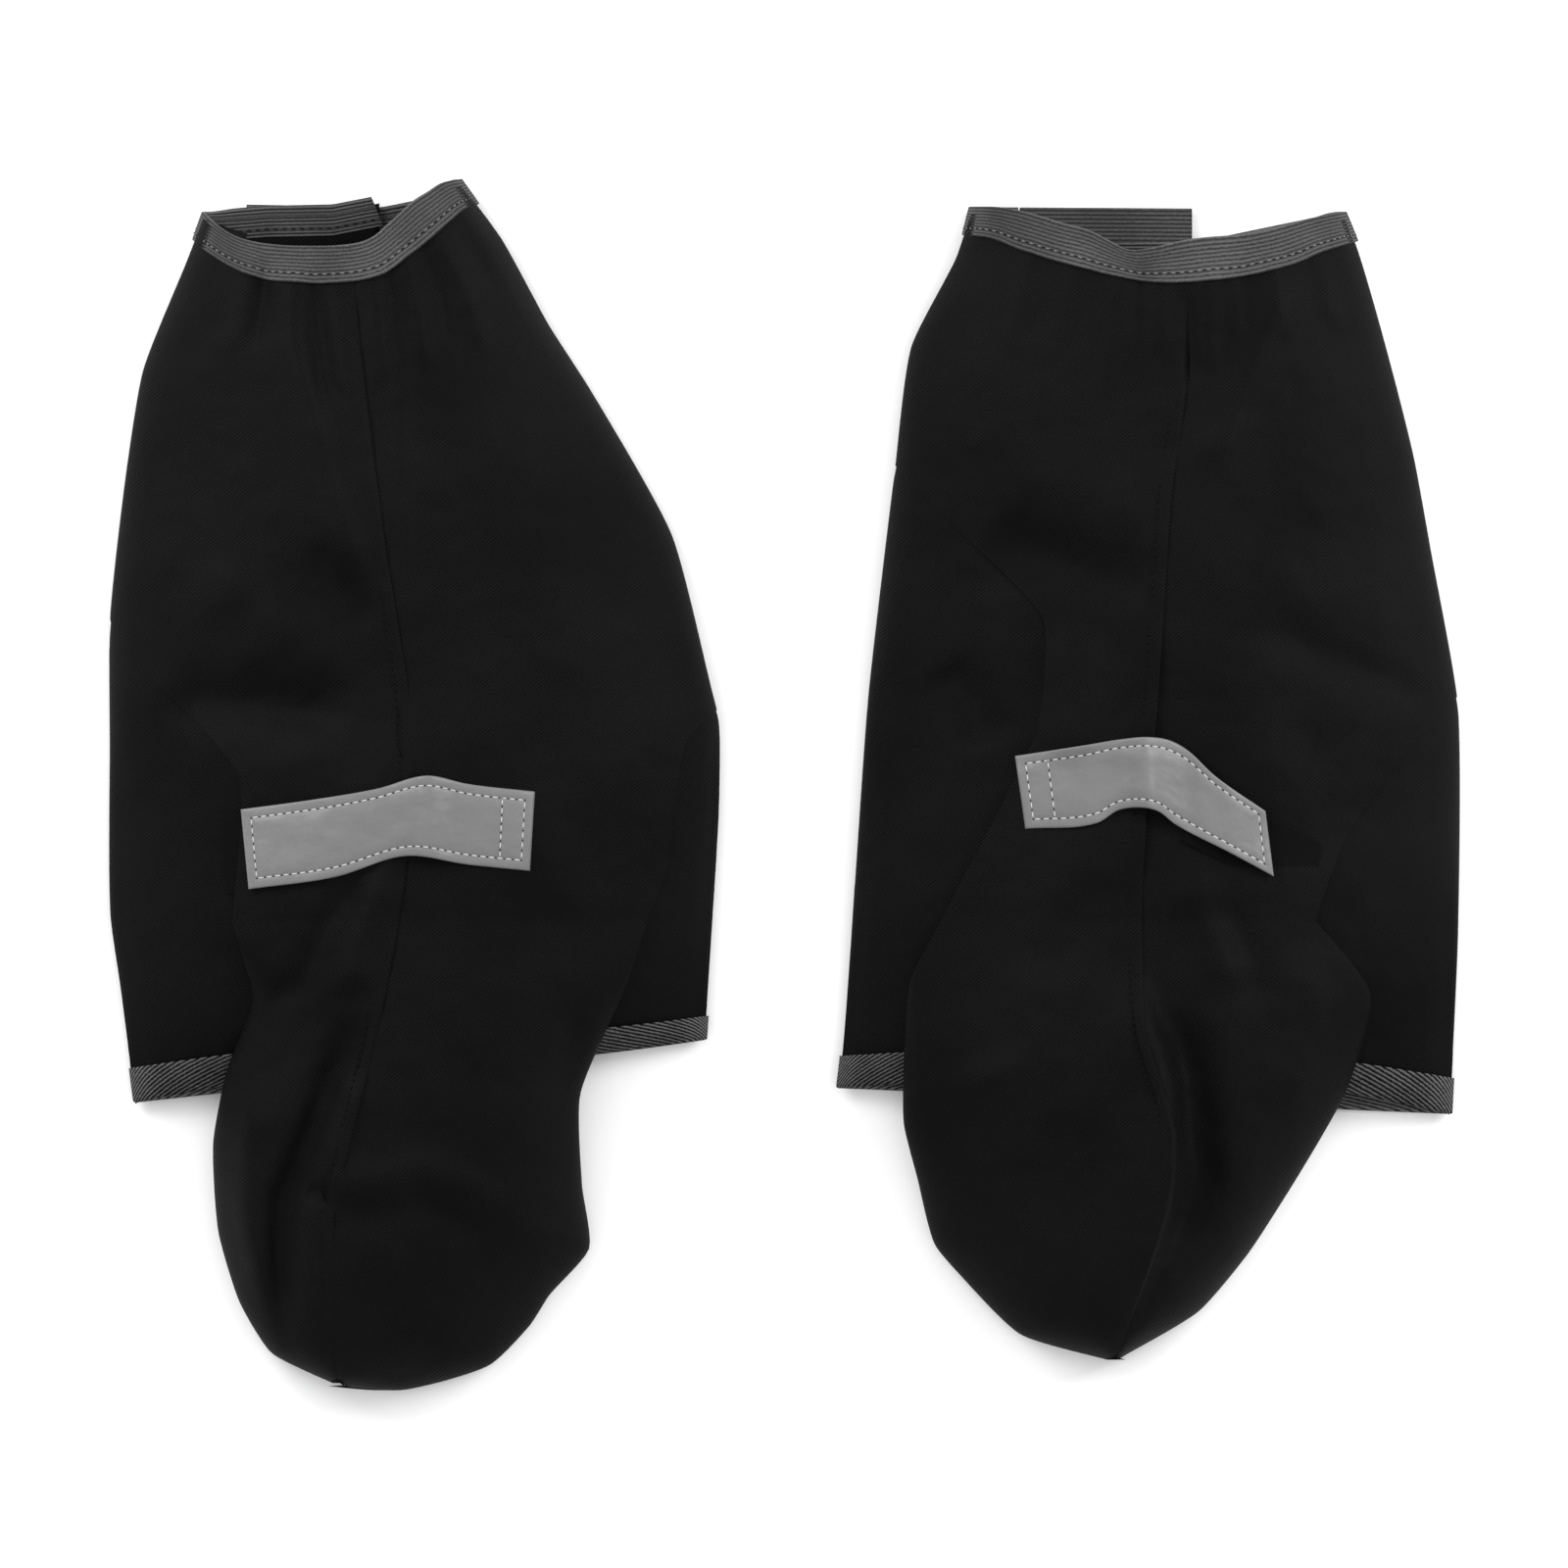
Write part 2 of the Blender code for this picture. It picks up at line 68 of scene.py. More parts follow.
def soft_lamp(name, place, size, power):
    lamp_data = bpy.data.lights.new(name, "AREA")
    lamp_data.shape = "RECTANGLE"
    lamp_data.size, lamp_data.size_y = size
    lamp_data.energy = power
    lamp = bpy.data.objects.new(name, lamp_data)
    lamp.location = place
    lamp.rotation_euler = (-Vector(place)).to_track_quat("-Z", "Y").to_euler()
    scene.collection.objects.link(lamp)


soft_lamp("left_lamp", (-1.1, 0.9, 0.8), (0.9, 0.7), 18.0)
soft_lamp("right_lamp", (1.2, 0.7, 0.8), (0.9, 0.7), 19.0)

table = bmesh.new()
bmesh.ops.create_grid(table, x_segments=1, y_segments=1, size=6.0)
bmesh.ops.translate(table, vec=(0.0, 0.0, -0.0003), verts=table.verts)
table_mesh = bpy.data.meshes.new("table")
table.to_mesh(table_mesh)
table.free()
table_top = bpy.data.objects.new("table", table_mesh)
scene.collection.objects.link(table_top)
table_material = bpy.data.materials.new("white_table")
table_material.use_nodes = True
table_shader = table_material.node_tree.nodes["Principled BSDF"]
table_shader.inputs["Base Color"].default_value = (0.97, 0.97, 0.97, 1.0)
table_shader.inputs["Roughness"].default_value = 0.9
table_mesh.materials.append(table_material)

# The front panels.
# Two mirrored cuts of coated cloth meet at each gaiter's front seam and run in one piece from the collar
# over the instep to the toe. Below the ankle their side edges are turned under, over the heel.

# Outlines are (x, y) points in millimetres, down from the collar, for side -1 towards -X and side 1 towards
# +X. Heights stand on the table. A row is 0 at the collar, HINGE_ROW at the toe hinge and 1 at the hem.
SIDE_FOLD, FOLD_REACH, FOLD_RISE = 4.0, 10.0, 4.0  # height of a side fold, how far it rounds, and its rise
COLLAR_LOFT, LEG_LOFT, HEM_LOFT = 29.0, 41.0, 5.0  # rise of the front over its side folds
CREST_ROW, FALL_ROW = 0.35, 0.68  # the rows between which the front keeps its full loft
ARCH, DROOP = 0.7, 1.6  # how square the front's arch is, and how late a row drops towards its side
HINGE_ROW, HINGE_Y, SEAM_END_Y = 0.8, -52.0, -109.0
CALM_REACH = 22.0  # the cloth lies still this near a side fold
CLOTH = 0.5

LEFT = {
    "name": "left", "inner": 1,
    "seam": [(-165.5, 204.5), (-159.5, 150.0), (-151.8, 89.0), (-143.3, 34.3), (-141.5, 3.4), (-143.3, -27.4),
             (-151.8, -79.0), (-167.3, -144.0), (-171.6, -159.5), (-171.2, -195.0), (-170.6, -230.5)],
    "edge": {
        -1: [(-222.5, 218.5), (-229.0, 201.0), (-245.6, 158.6), (-252.0, 120.0), (-258.2, 64.5),
             (-258.3, 15.0), (-258.0, -50.6), (-254.0, -78.8), (-248.6, -121.0)],
        1: [(-123.8, 231.0), (-108.8, 211.0), (-90.0, 176.0), (-74.0, 150.8), (-43.0, 95.6), (-28.0, 37.5),
            (-25.0, 25.0), (-25.0, -11.0), (-27.4, -50.6), (-30.4, -97.0)],
    },
    "turn": {
        -1: [(-258.2, 62.0), (-240.0, 38.0), (-222.0, 21.0), (-208.5, 3.4), (-207.3, -12.0), (-210.0, -42.0),
             (-211.0, -52.0)],
        1: [(-25.0, 29.0), (-37.0, 17.0), (-42.0, -10.0), (-45.4, -34.0), (-52.0, -52.0)],
    },
    "hood": {
        -1: [(-211.0, -52.0), (-203.3, -82.0), (-213.4, -110.0), (-218.6, -137.3), (-216.8, -171.4),
             (-208.5, -198.8), (-196.5, -217.9), (-181.0, -226.0), (-170.6, -230.5)],
        1: [(-52.0, -52.0), (-61.1, -78.8), (-78.0, -119.0), (-77.3, -154.0), (-74.6, -178.0),
            (-90.0, -196.0), (-97.0, -207.0), (-112.5, -222.5), (-146.6, -232.3), (-170.6, -230.5)],
    },
    "mouth": [(-222.5, 218.5), (-215.7, 212.3), (-209.7, 208.7), (-202.4, 206.4), (-192.4, 205.0),
              (-181.5, 204.6), (-168.7, 205.0), (-160.6, 206.4), (-156.0, 208.7), (-151.9, 212.3),
              (-147.8, 216.0), (-141.4, 221.9), (-136.0, 225.5), (-130.5, 229.2), (-123.8, 231.0)],
    "crease": {-1: 27.0, 1: 36.0},
}
RIGHT = {
    "name": "right", "inner": -1,
    "seam": [(156.2, 202.5), (153.8, 150.9), (148.0, 109.7), (145.2, 68.6), (141.8, 20.6), (138.4, -13.7),
             (136.6, -51.5), (138.4, -96.0), (149.6, -133.7), (147.9, -161.1), (140.1, -185.1),
             (126.4, -221.3)],
    "edge": {
        -1: [(71.5, 220.5), (66.0, 203.0), (48.8, 168.0), (42.4, 120.0), (32.3, 34.0), (22.5, -102.8),
             (21.0, -115.5)],
        1: [(215.0, 218.5), (219.8, 206.0), (241.0, 126.8), (247.9, 89.3), (258.2, 30.8), (258.3, -58.0),
            (255.2, -125.4)],
    },
    "turn": {
        -1: [(42.4, 122.0), (72.0, 92.0), (99.0, 63.0), (96.5, 20.6), (83.5, -7.0), (60.0, -52.0)],
        1: [(258.2, 33.0), (236.0, 10.0), (214.0, -22.0), (203.0, -52.0)],
    },
    "hood": {
        -1: [(60.0, -52.0), (48.4, -75.4), (45.8, -106.0), (45.8, -130.0), (51.0, -150.8), (57.8, -176.6),
             (66.4, -187.0), (90.4, -210.8), (126.4, -221.3)],
        1: [(203.0, -52.0), (224.6, -80.6), (215.6, -116.6), (197.0, -150.0), (177.8, -180.0),
            (159.0, -202.0), (126.4, -221.3)],
    },
    "mouth": [(71.5, 220.5), (83.6, 219.8), (95.4, 216.9), (107.1, 213.3), (116.6, 210.7), (124.8, 206.6),
              (131.9, 203.4), (140.1, 203.9), (150.8, 206.3), (161.4, 207.8), (175.5, 209.0),
              (187.3, 211.3), (199.1, 214.9), (215.0, 218.5)],
    "crease": {-1: 66.0, 1: -18.0},
}


def side_name(boot, side):
    return "inner" if side == boot["inner"] else "outer"


def mix(first, last, share):
    return first + (last - first) * share


def ease(share):
    share = np.clip(share, 0.0, 1.0)
    return share * share * (3.0 - 2.0 * share)


def rounded(points, per=12, soft=0.6):
    """An outline's points with smooth bends between them, which pass through each."""
    corners = np.array(points, float)
    spans = np.linalg.norm(np.diff(corners, axis=0), axis=1)
    slopes = np.diff(corners, axis=0) / spans[:, None]
    bends = soft * np.vstack([slopes[:1], 0.5 * (slopes[1:] + slopes[:-1]), slopes[-1:]])
    line = []
    for first, last, span, leave, reach in zip(corners, corners[1:], spans, bends, bends[1:]):
        for t in np.linspace(0.0, 1.0, per, endpoint=False):
            line.append(first * (2 * t**3 - 3 * t**2 + 1) + last * (3 * t**2 - 2 * t**3)
                        + leave * span * (t**3 - 2 * t**2 + t) + reach * span * (t**3 - t**2))
    return np.array(line + [corners[-1]])


def x_at(line, y):
    order = np.argsort(line[:, 1])
    return np.interp(y, line[order, 1], line[order, 0])


def y_at(line, x):
    order = np.argsort(line[:, 0])
    return np.interp(x, line[order, 0], line[order, 1])


def walk(line, share):
    """Points at shares of an outline's length."""
    length = np.concatenate([[0.0], np.cumsum(np.linalg.norm(np.diff(line, axis=0), axis=1))])
    reach = np.asarray(share) * length[-1]
    return np.interp(reach, length, line[:, 0]), np.interp(reach, length, line[:, 1])


for gaiter in (LEFT, RIGHT):
    gaiter["seam_line"] = rounded(gaiter["seam"])
    gaiter["edge_line"] = {side: rounded(gaiter["edge"][side]) for side in (-1, 1)}
    gaiter["turn_line"] = {side: rounded(gaiter["turn"][side]) for side in (-1, 1)}
    gaiter["hood_line"] = {side: rounded(gaiter["hood"][side]) for side in (-1, 1)}
    toe_seam = [(float(x_at(gaiter["seam_line"], HINGE_Y)), HINGE_Y)]
    toe_seam += [point for point in gaiter["seam"] if point[1] < HINGE_Y - 5.0]
    gaiter["toe_seam_line"] = rounded(toe_seam)
    gaiter["mouth_line"] = rounded(gaiter["mouth"], 6, 1.0)


def loft(row):
    """How high the front stands over the side folds, from the collar at row 0 to the hem at row 1."""
    upper = mix(COLLAR_LOFT, LEG_LOFT, np.sin(np.pi / 2 * np.clip(row / CREST_ROW, 0.0, 1.0)))
    fall = np.clip((1.0 - row) / (1.0 - FALL_ROW), 0.0, 1.0)
    return np.where(row <= FALL_ROW, upper, mix(HEM_LOFT, LEG_LOFT, 1.0 - (1.0 - fall) ** 2.5))


def front_share(boot, side, x, y):
    """How far a point is from the front seam, 0, to the side fold, 1, and the distance between them."""
    seam_x, edge_x = x_at(boot["seam_line"], y), x_at(boot["edge_line"][side], y)
    return np.clip((x - seam_x) / (edge_x - seam_x), 0.0, 1.0), np.abs(edge_x - seam_x)


def sleeve_row(boot, side, share, y):
    """The row of the sleeve that a height y on it belongs to."""
    top = mix(boot["seam"][0][1], boot["edge"][side][0][1], share**DROOP)
    middle_hem = 0.5 * (boot["edge"][-1][-1][1] + boot["edge"][1][-1][1])
    bottom = mix(middle_hem, boot["edge"][side][-1][1], share**DROOP)
    upper = HINGE_ROW * (top - y) / (top - HINGE_Y)
    lower = HINGE_ROW + (1.0 - HINGE_ROW) * (HINGE_Y - y) / (HINGE_Y - bottom)
    return np.where(y >= HINGE_Y, upper, lower)


def row_y(top, bottom, row):
    return np.interp(row, [0.0, HINGE_ROW, 1.0], [top, HINGE_Y, bottom])


# Waterproof cloth is stiff enough to hold long soft ridges: each fold is a line with a height, a width on
# either side and tapered ends. Gathers run down from the elastic, and creases leave the instep.
FOLD_ENDS = 0.25  # share of a fold's length over which an end tapers


def fold(x, y, path, height, width, lean):
    """The rise of one fold at points: lean is how much wider it is on its +X side."""
    line = rounded(path, 6)
    starts, steps = line[:-1], np.diff(line, axis=0)
    lengths = np.linalg.norm(steps, axis=1)
    before = np.concatenate([[0.0], np.cumsum(lengths)])
    nearest = np.full(x.shape, 1e9)
    across, along = np.zeros(x.shape), np.zeros(x.shape)
    for start, step, length, done in zip(starts, steps, lengths, before):
        t = np.clip(((x - start[0]) * step[0] + (y - start[1]) * step[1]) / length**2, 0.0, 1.0)
        off_x, off_y = x - start[0] - t * step[0], y - start[1] - t * step[1]
        far = np.hypot(off_x, off_y)
        closer = far < nearest
        nearest = np.where(closer, far, nearest)
        side = off_x * -step[1] + off_y * step[0]
        across = np.where(closer, np.sign(side) * far, across)
        along = np.where(closer, (done + t * length) / before[-1], along)
    reach = np.where(across > 0, width * lean, width)
    taper = ease(along / FOLD_ENDS) * ease((1.0 - along) / FOLD_ENDS)
    return height * np.exp(-((across / reach) ** 2)) * taper


# (path, height, width, lean), the leg's folds first and then the toe hood's
LEFT["folds"] = [
    ([(-190, 205), (-188, 180), (-181, 150), (-170, 115)], 2.6, 5.0, 1.2),
    ([(-181, 200), (-178, 170), (-174, 140)], -2.2, 3.2, 1.0),
    ([(-172, 200), (-169, 170), (-163, 130), (-158, 95)], 2.4, 4.5, 1.0),
    ([(-205, 206), (-207, 185), (-213, 160)], 2.0, 4.5, 1.0),
    ([(-198, 205), (-199, 188), (-203, 165)], -1.8, 3.0, 1.0),
    ([(-157, 200), (-154, 175), (-151, 150)], 1.9, 3.6, 1.0),
    ([(-151, 203), (-147, 172), (-145, 130), (-142, 90)], -2.2, 4.0, 1.0),
    ([(-146, 205), (-140, 180), (-136, 155)], 1.8, 3.4, 1.0),
    ([(-140, 208), (-131, 185), (-127, 165)], -1.8, 3.2, 1.0),
    ([(-134, 214), (-122, 190), (-112, 160)], 1.9, 4.0, 1.0),
    ([(-128, 220), (-116, 200), (-107, 185)], -1.4, 3.0, 1.0),
    ([(-122, 222), (-108, 198), (-95, 172)], 1.6, 3.6, 1.0),
    ([(-196, 190), (-185, 150), (-170, 100), (-157, 62)], 5.0, 11.0, 0.6),
    ([(-181, 95), (-168, 75), (-157, 56)], -3.0, 6.0, 1.2),
    ([(-229, 86), (-200, 66), (-172, 41), (-167, 32)], 4.0, 15.0, 0.8),
    ([(-239, 34), (-210, 32), (-180, 28), (-165, 20)], -6.0, 10.0, 1.1),
    ([(-215, 60), (-190, 20), (-175, -5)], 2.5, 18.0, 1.0),
    ([(-120, 150), (-95, 90), (-75, 20)], 2.2, 22.0, 1.0),
    ([(-100, 30), (-80, -10), (-70, -45)], -2.0, 14.0, 1.0),
]
LEFT["folds"] += [
    ([(-157, -30), (-175, -55), (-184, -75), (-203, -84)], -3.2, 6.0, 1.0),
    ([(-152, -30), (-162, -60), (-166, -84)], 4.0, 8.0, 0.8),
    ([(-160, -84), (-171, -106), (-186, -144), (-192, -158), (-193, -182), (-188, -220)], -7.0, 5.0, 1.4),
    ([(-197, -110), (-205, -140), (-204, -170), (-198, -200)], 4.5, 11.0, 0.9),
    ([(-160, -106), (-168, -140), (-160, -165)], 4.0, 10.0, 1.0),
    ([(-184, -154), (-176, -157), (-168, -160)], -3.0, 3.5, 1.0),
    ([(-171, -159), (-140, -148), (-120, -153), (-109, -168)], 3.0, 9.0, 0.8),
    ([(-171, -168), (-140, -160), (-112, -176)], -2.0, 7.0, 1.0),
    ([(-80, -82), (-78, -100), (-79, -120)], -3.5, 7.0, 1.0),
    ([(-110, -60), (-98, -100), (-100, -150)], 3.0, 20.0, 1.0),
    ([(-150, -165), (-152, -200), (-156, -226)], 1.5, 12.0, 1.0),
]
RIGHT["folds"] = [
    ([(155, 192), (156, 178), (157, 150)], -2.4, 3.6, 0.9),
    ([(162, 202), (163, 180), (164, 150)], 2.2, 4.0, 1.0),
    ([(145, 203), (144, 185), (143, 160)], 1.6, 4.0, 1.0),
    ([(130, 205), (127, 180), (126, 160)], 1.4, 4.5, 1.0),
    ([(137, 203), (136, 185), (136, 170)], -1.4, 3.0, 1.0),
    ([(113, 208), (108, 185), (106, 165)], 1.3, 4.5, 1.0),
    ([(96, 212), (90, 185), (86, 165)], 1.2, 4.0, 1.0),
    ([(174, 204), (177, 185), (180, 165)], -1.4, 3.5, 1.0),
    ([(185, 206), (190, 185), (194, 165)], 1.4, 4.0, 1.0),
    ([(201, 210), (208, 190), (214, 170)], 1.2, 4.0, 1.0),
    ([(195, 198), (180, 160), (165, 125), (158, 112)], 4.0, 9.0, 0.7),
    ([(73, 93), (105, 86), (142, 70)], -5.5, 11.0, 1.0),
    ([(80, 120), (110, 112), (138, 100)], 3.0, 16.0, 1.0),
    ([(60, 48), (72, 30), (80, 12)], -5.0, 10.0, 1.0),
    ([(110, 62), (112, 30), (110, 5)], 4.5, 11.0, 1.0),
    ([(180, 62), (215, 46), (252, 32)], -2.6, 9.0, 0.8),
    ([(175, 85), (215, 70), (245, 60)], 2.4, 14.0, 1.0),
    ([(170, 60), (178, 20), (190, -20)], 2.5, 18.0, 1.0),
]
RIGHT["folds"] += [
    ([(137, -62), (141, -90), (149, -118), (147, -160), (128, -214)], 10.0, 20.0, 0.16),
    ([(150, -80), (155, -115), (158, -150), (146, -190)], -8.0, 5.0, 2.2),
    ([(75, -100), (85, -128), (80, -150)], 4.0, 16.0, 1.0),
    ([(98, -60), (100, -100), (112, -140)], 2.5, 14.0, 1.0),
    ([(152, -31), (165, -58), (173, -82)], 3.2, 8.0, 1.0),
    ([(163, -40), (178, -66), (186, -90)], -2.6, 7.0, 1.0),
    ([(190, -60), (205, -90), (190, -130)], 3.0, 14.0, 1.0),
    ([(120, -30), (108, -62), (100, -80)], -2.2, 8.0, 1.0),
]


def ripple(x, y, seed, size):
    """Fine unevenness of cloth, from -1 to 1."""
    points = zip(x.ravel() / size, y.ravel() / size)
    values = [noise.fractal(Vector((a, b, seed)), 0.7, 2.1, 3) for a, b in points]
    return np.array(values).reshape(x.shape)


def drape(boot, x, y):
    rise = 0.9 * ripple(x, y, 3.0 * boot["inner"], 34.0) + 0.25 * ripple(x, y, 9.0 * boot["inner"], 9.0)
    for path, height, width, lean in boot["folds"]:
        rise += fold(x, y, path, height, width, lean)
    return rise


def front_height(boot, x, y):
    """The height of the sleeve's front at points, with its folds."""
    height = np.zeros(x.shape)
    middle = x_at(boot["seam_line"], y)
    draped = drape(boot, x, y)
    for side in (-1, 1):
        share, width = front_share(boot, side, x, y)
        turn = np.clip(1.0 - (1.0 - share) * width / FOLD_REACH, 0.0, 1.0)
        row = sleeve_row(boot, side, share, y)
        base = SIDE_FOLD + FOLD_RISE * np.sqrt(1.0 - turn**2) + loft(row) * (1.0 - share**2) ** ARCH
        calm = ease((1.0 - share) * width / CALM_REACH) * ease((1.0 - row) / 0.1)
        height = np.where(side * (x - middle) >= 0, base + calm * draped, height)
    return height


SOLE_HEIGHT = 2.8


def hood_edge_height(boot, side, y):
    """The height of the toe hood's lower edge, which comes down from the instep to the sole."""
    hinge_x = boot["hood"][side][0][0]
    share, _ = front_share(boot, side, np.array(hinge_x), np.array(HINGE_Y))
    leave = SIDE_FOLD + FOLD_RISE + loft(HINGE_ROW) * (1.0 - share**2) ** ARCH
    return np.interp(-y, [-HINGE_Y, 80.0, 126.0, 165.0], [leave, 21.0, 15.0, SOLE_HEIGHT])


def hood_height(boot, side, x, y, share, reach):
    """The height of the toe hood: share 0 at the seam, 1 at its edge; reach 0 at the hinge, 1 at the tip."""
    edge = hood_edge_height(boot, side, y)
    crown = SIDE_FOLD + FOLD_RISE + loft(HINGE_ROW) * np.sqrt(1.0 - np.clip(reach, 0.0, 1.0) ** 3)
    pillow = edge + np.maximum(crown - edge, 0.0) * (1.0 - share**2) ** 0.55
    leg_share, width = front_share(boot, side, x, np.maximum(y, HINGE_Y))
    leg = SIDE_FOLD + FOLD_RISE + loft(HINGE_ROW) * (1.0 - leg_share**2) ** ARCH
    below = ease((HINGE_Y - y) / 45.0)
    calm_leg = ease((1.0 - leg_share) * width / CALM_REACH)
    calm_toe = ease((1.0 - share) * 60.0 / 16.0) * ease((1.0 - reach) / 0.08)
    return mix(leg, pillow, below) + mix(calm_leg, calm_toe, below) * drape(boot, x, y)


# Coated polyester twill is dull on the outside, and its fine diagonal ribs catch a little light. That light
# is painted into the colour: lighter on the rib crests and darker in the grooves, with random grain and wear
# mixed in.
def shader_of(material, colour, roughness, specular=0.035):
    material.use_nodes = True
    shader = material.node_tree.nodes["Principled BSDF"]
    shader.inputs["Specular IOR Level"].default_value = specular
    shader.inputs["Base Color"].default_value = (*colour, 1.0)
    shader.inputs["Roughness"].default_value = roughness
    return shader


def add(material, kind, **values):
    node = material.node_tree.nodes.new(kind)
    for name, value in values.items():
        setattr(node, name, value)
    return node


def twill(name, dark, light, pitch, roughness, slant, relief, contrast=1.0, specular=0.035):
    """Woven cloth whose ribs run at a slant over its own map, in metres."""
    material = bpy.data.materials.new(name)
    shader = shader_of(material, dark, roughness, specular)
    link = material.node_tree.links.new
    place = add(material, "ShaderNodeTexCoord")
    turn = add(material, "ShaderNodeMapping")
    turn.inputs["Rotation"].default_value = (0.0, 0.0, slant)
    ribs = add(material, "ShaderNodeTexWave", bands_direction="X")
    ribs.inputs["Scale"].default_value = 0.314 / pitch  # a wave of scale 0.314 repeats every metre
    ribs.inputs["Distortion"].default_value = 1.2
    ribs.inputs["Detail"].default_value = 2.0
    ribs.inputs["Detail Scale"].default_value = 3.0
    grain = add(material, "ShaderNodeTexNoise")
    grain.inputs["Scale"].default_value = 900.0
    grain.inputs["Detail"].default_value = 3.0
    wear = add(material, "ShaderNodeTexNoise")
    wear.inputs["Scale"].default_value = 14.0
    wear.inputs["Detail"].default_value = 4.0
    height = add(material, "ShaderNodeMath", operation="ADD")
    shade = add(material, "ShaderNodeMath", operation="MULTIPLY")
    spread = add(material, "ShaderNodeMath", operation="MULTIPLY_ADD", use_clamp=True)
    spread.inputs[1].default_value, spread.inputs[2].default_value = contrast, 0.5 - 0.5 * contrast
    # painted highlight on the rib crests and painted shade in the grooves, taken from the bump height, with
    # random grain and wear
    tone = add(material, "ShaderNodeMix", data_type="RGBA")
    tone.inputs["A"].default_value = (*dark, 1.0)
    tone.inputs["B"].default_value = (*light, 1.0)
    bump = add(material, "ShaderNodeBump")
    bump.inputs["Strength"].default_value = 0.6
    bump.inputs["Distance"].default_value = relief
    link(place.outputs["UV"], turn.inputs["Vector"])
    link(turn.outputs["Vector"], ribs.inputs["Vector"])
    link(place.outputs["UV"], grain.inputs["Vector"])
    link(place.outputs["UV"], wear.inputs["Vector"])
    link(ribs.outputs["Fac"], height.inputs[0])
    link(grain.outputs["Fac"], height.inputs[1])
    link(height.outputs["Value"], shade.inputs[0])
    link(wear.outputs["Fac"], shade.inputs[1])
    link(shade.outputs["Value"], spread.inputs[0])
    link(spread.outputs["Value"], tone.inputs["Factor"])
    link(tone.outputs["Result"], shader.inputs["Base Color"])
    link(height.outputs["Value"], bump.inputs["Height"])
    link(bump.outputs["Normal"], shader.inputs["Normal"])
    return material


black_cloth = twill("black_cloth", (0.0018, 0.0018, 0.0019), (0.0056, 0.0056, 0.0058), 0.0011, 0.6, 0.9,
                    0.00016, contrast=2.0)
MM = 0.001
gaiters = bpy.data.collections.new("gaiters")
scene.collection.children.link(gaiters)


def cloth(name, across, down, place, material, thickness=CLOTH, up=(0.0, 0.0, 1.0),
          weave=None, outer=1.0):
    """A grid laid through place(u, v) and mapped in metres. The faces up to v = outer look towards up on the
    whole, and the thickness is behind them."""
    grid = bmesh.new()
    bmesh.ops.create_grid(grid, x_segments=across, y_segments=down, size=0.5)
    mesh = bpy.data.meshes.new(name)
    grid.to_mesh(mesh)
    grid.free()
    flat = np.empty(len(mesh.vertices) * 3)
    mesh.vertices.foreach_get("co", flat)
    u, v = flat.reshape(-1, 3)[:, 0] + 0.5, flat.reshape(-1, 3)[:, 1] + 0.5
    points = np.stack(place(u, v), axis=1) * MM
    mesh.vertices.foreach_set("co", points.astype(np.float32).ravel())
    chart = points[:, :2] if weave is None else np.stack(weave(u, v), axis=1) * MM
    corner_verts = np.empty(len(mesh.loops), int)
    mesh.loops.foreach_get("vertex_index", corner_verts)
    mesh.uv_layers.new(name="weave").data.foreach_set("uv", chart[corner_verts].astype(np.float32).ravel())
    mesh.update()
    faces = [face for face in mesh.polygons if v[face.vertices[0]] < outer]
    outward = sum((Vector(face.normal) * face.area for face in faces), Vector())
    if outward.dot(Vector(up)) < 0:
        mesh.flip_normals()
    mesh.shade_smooth()
    mesh.materials.append(material)
    piece = bpy.data.objects.new(name, mesh)
    gaiters.objects.link(piece)
    solid = piece.modifiers.new("thickness", "SOLIDIFY")
    solid.thickness = thickness * MM
    solid.offset = -1.0
    return piece


FRONT_PART = 0.62  # share of a front panel's rows that lie above the toe hinge
TURN_UNDER = 0.94  # share of its columns before the cloth turns under
TIP_REACH = 0.988  # the last row is a short edge across the tip
LYING_DROP, FREE_DROP = 0.58, 2.6  # how far the side edge drops where it is joined, and where it turns under
FREE_TUCK, FREE_LIFT = 7.0, 1.6  # how far the free edge tucks in, and how high it stands off the heel
SEAM_LAP, SEAM_STEP = 5.0, 0.7


def turn_start(boot, side):
    return boot["turn"][side][0][1]


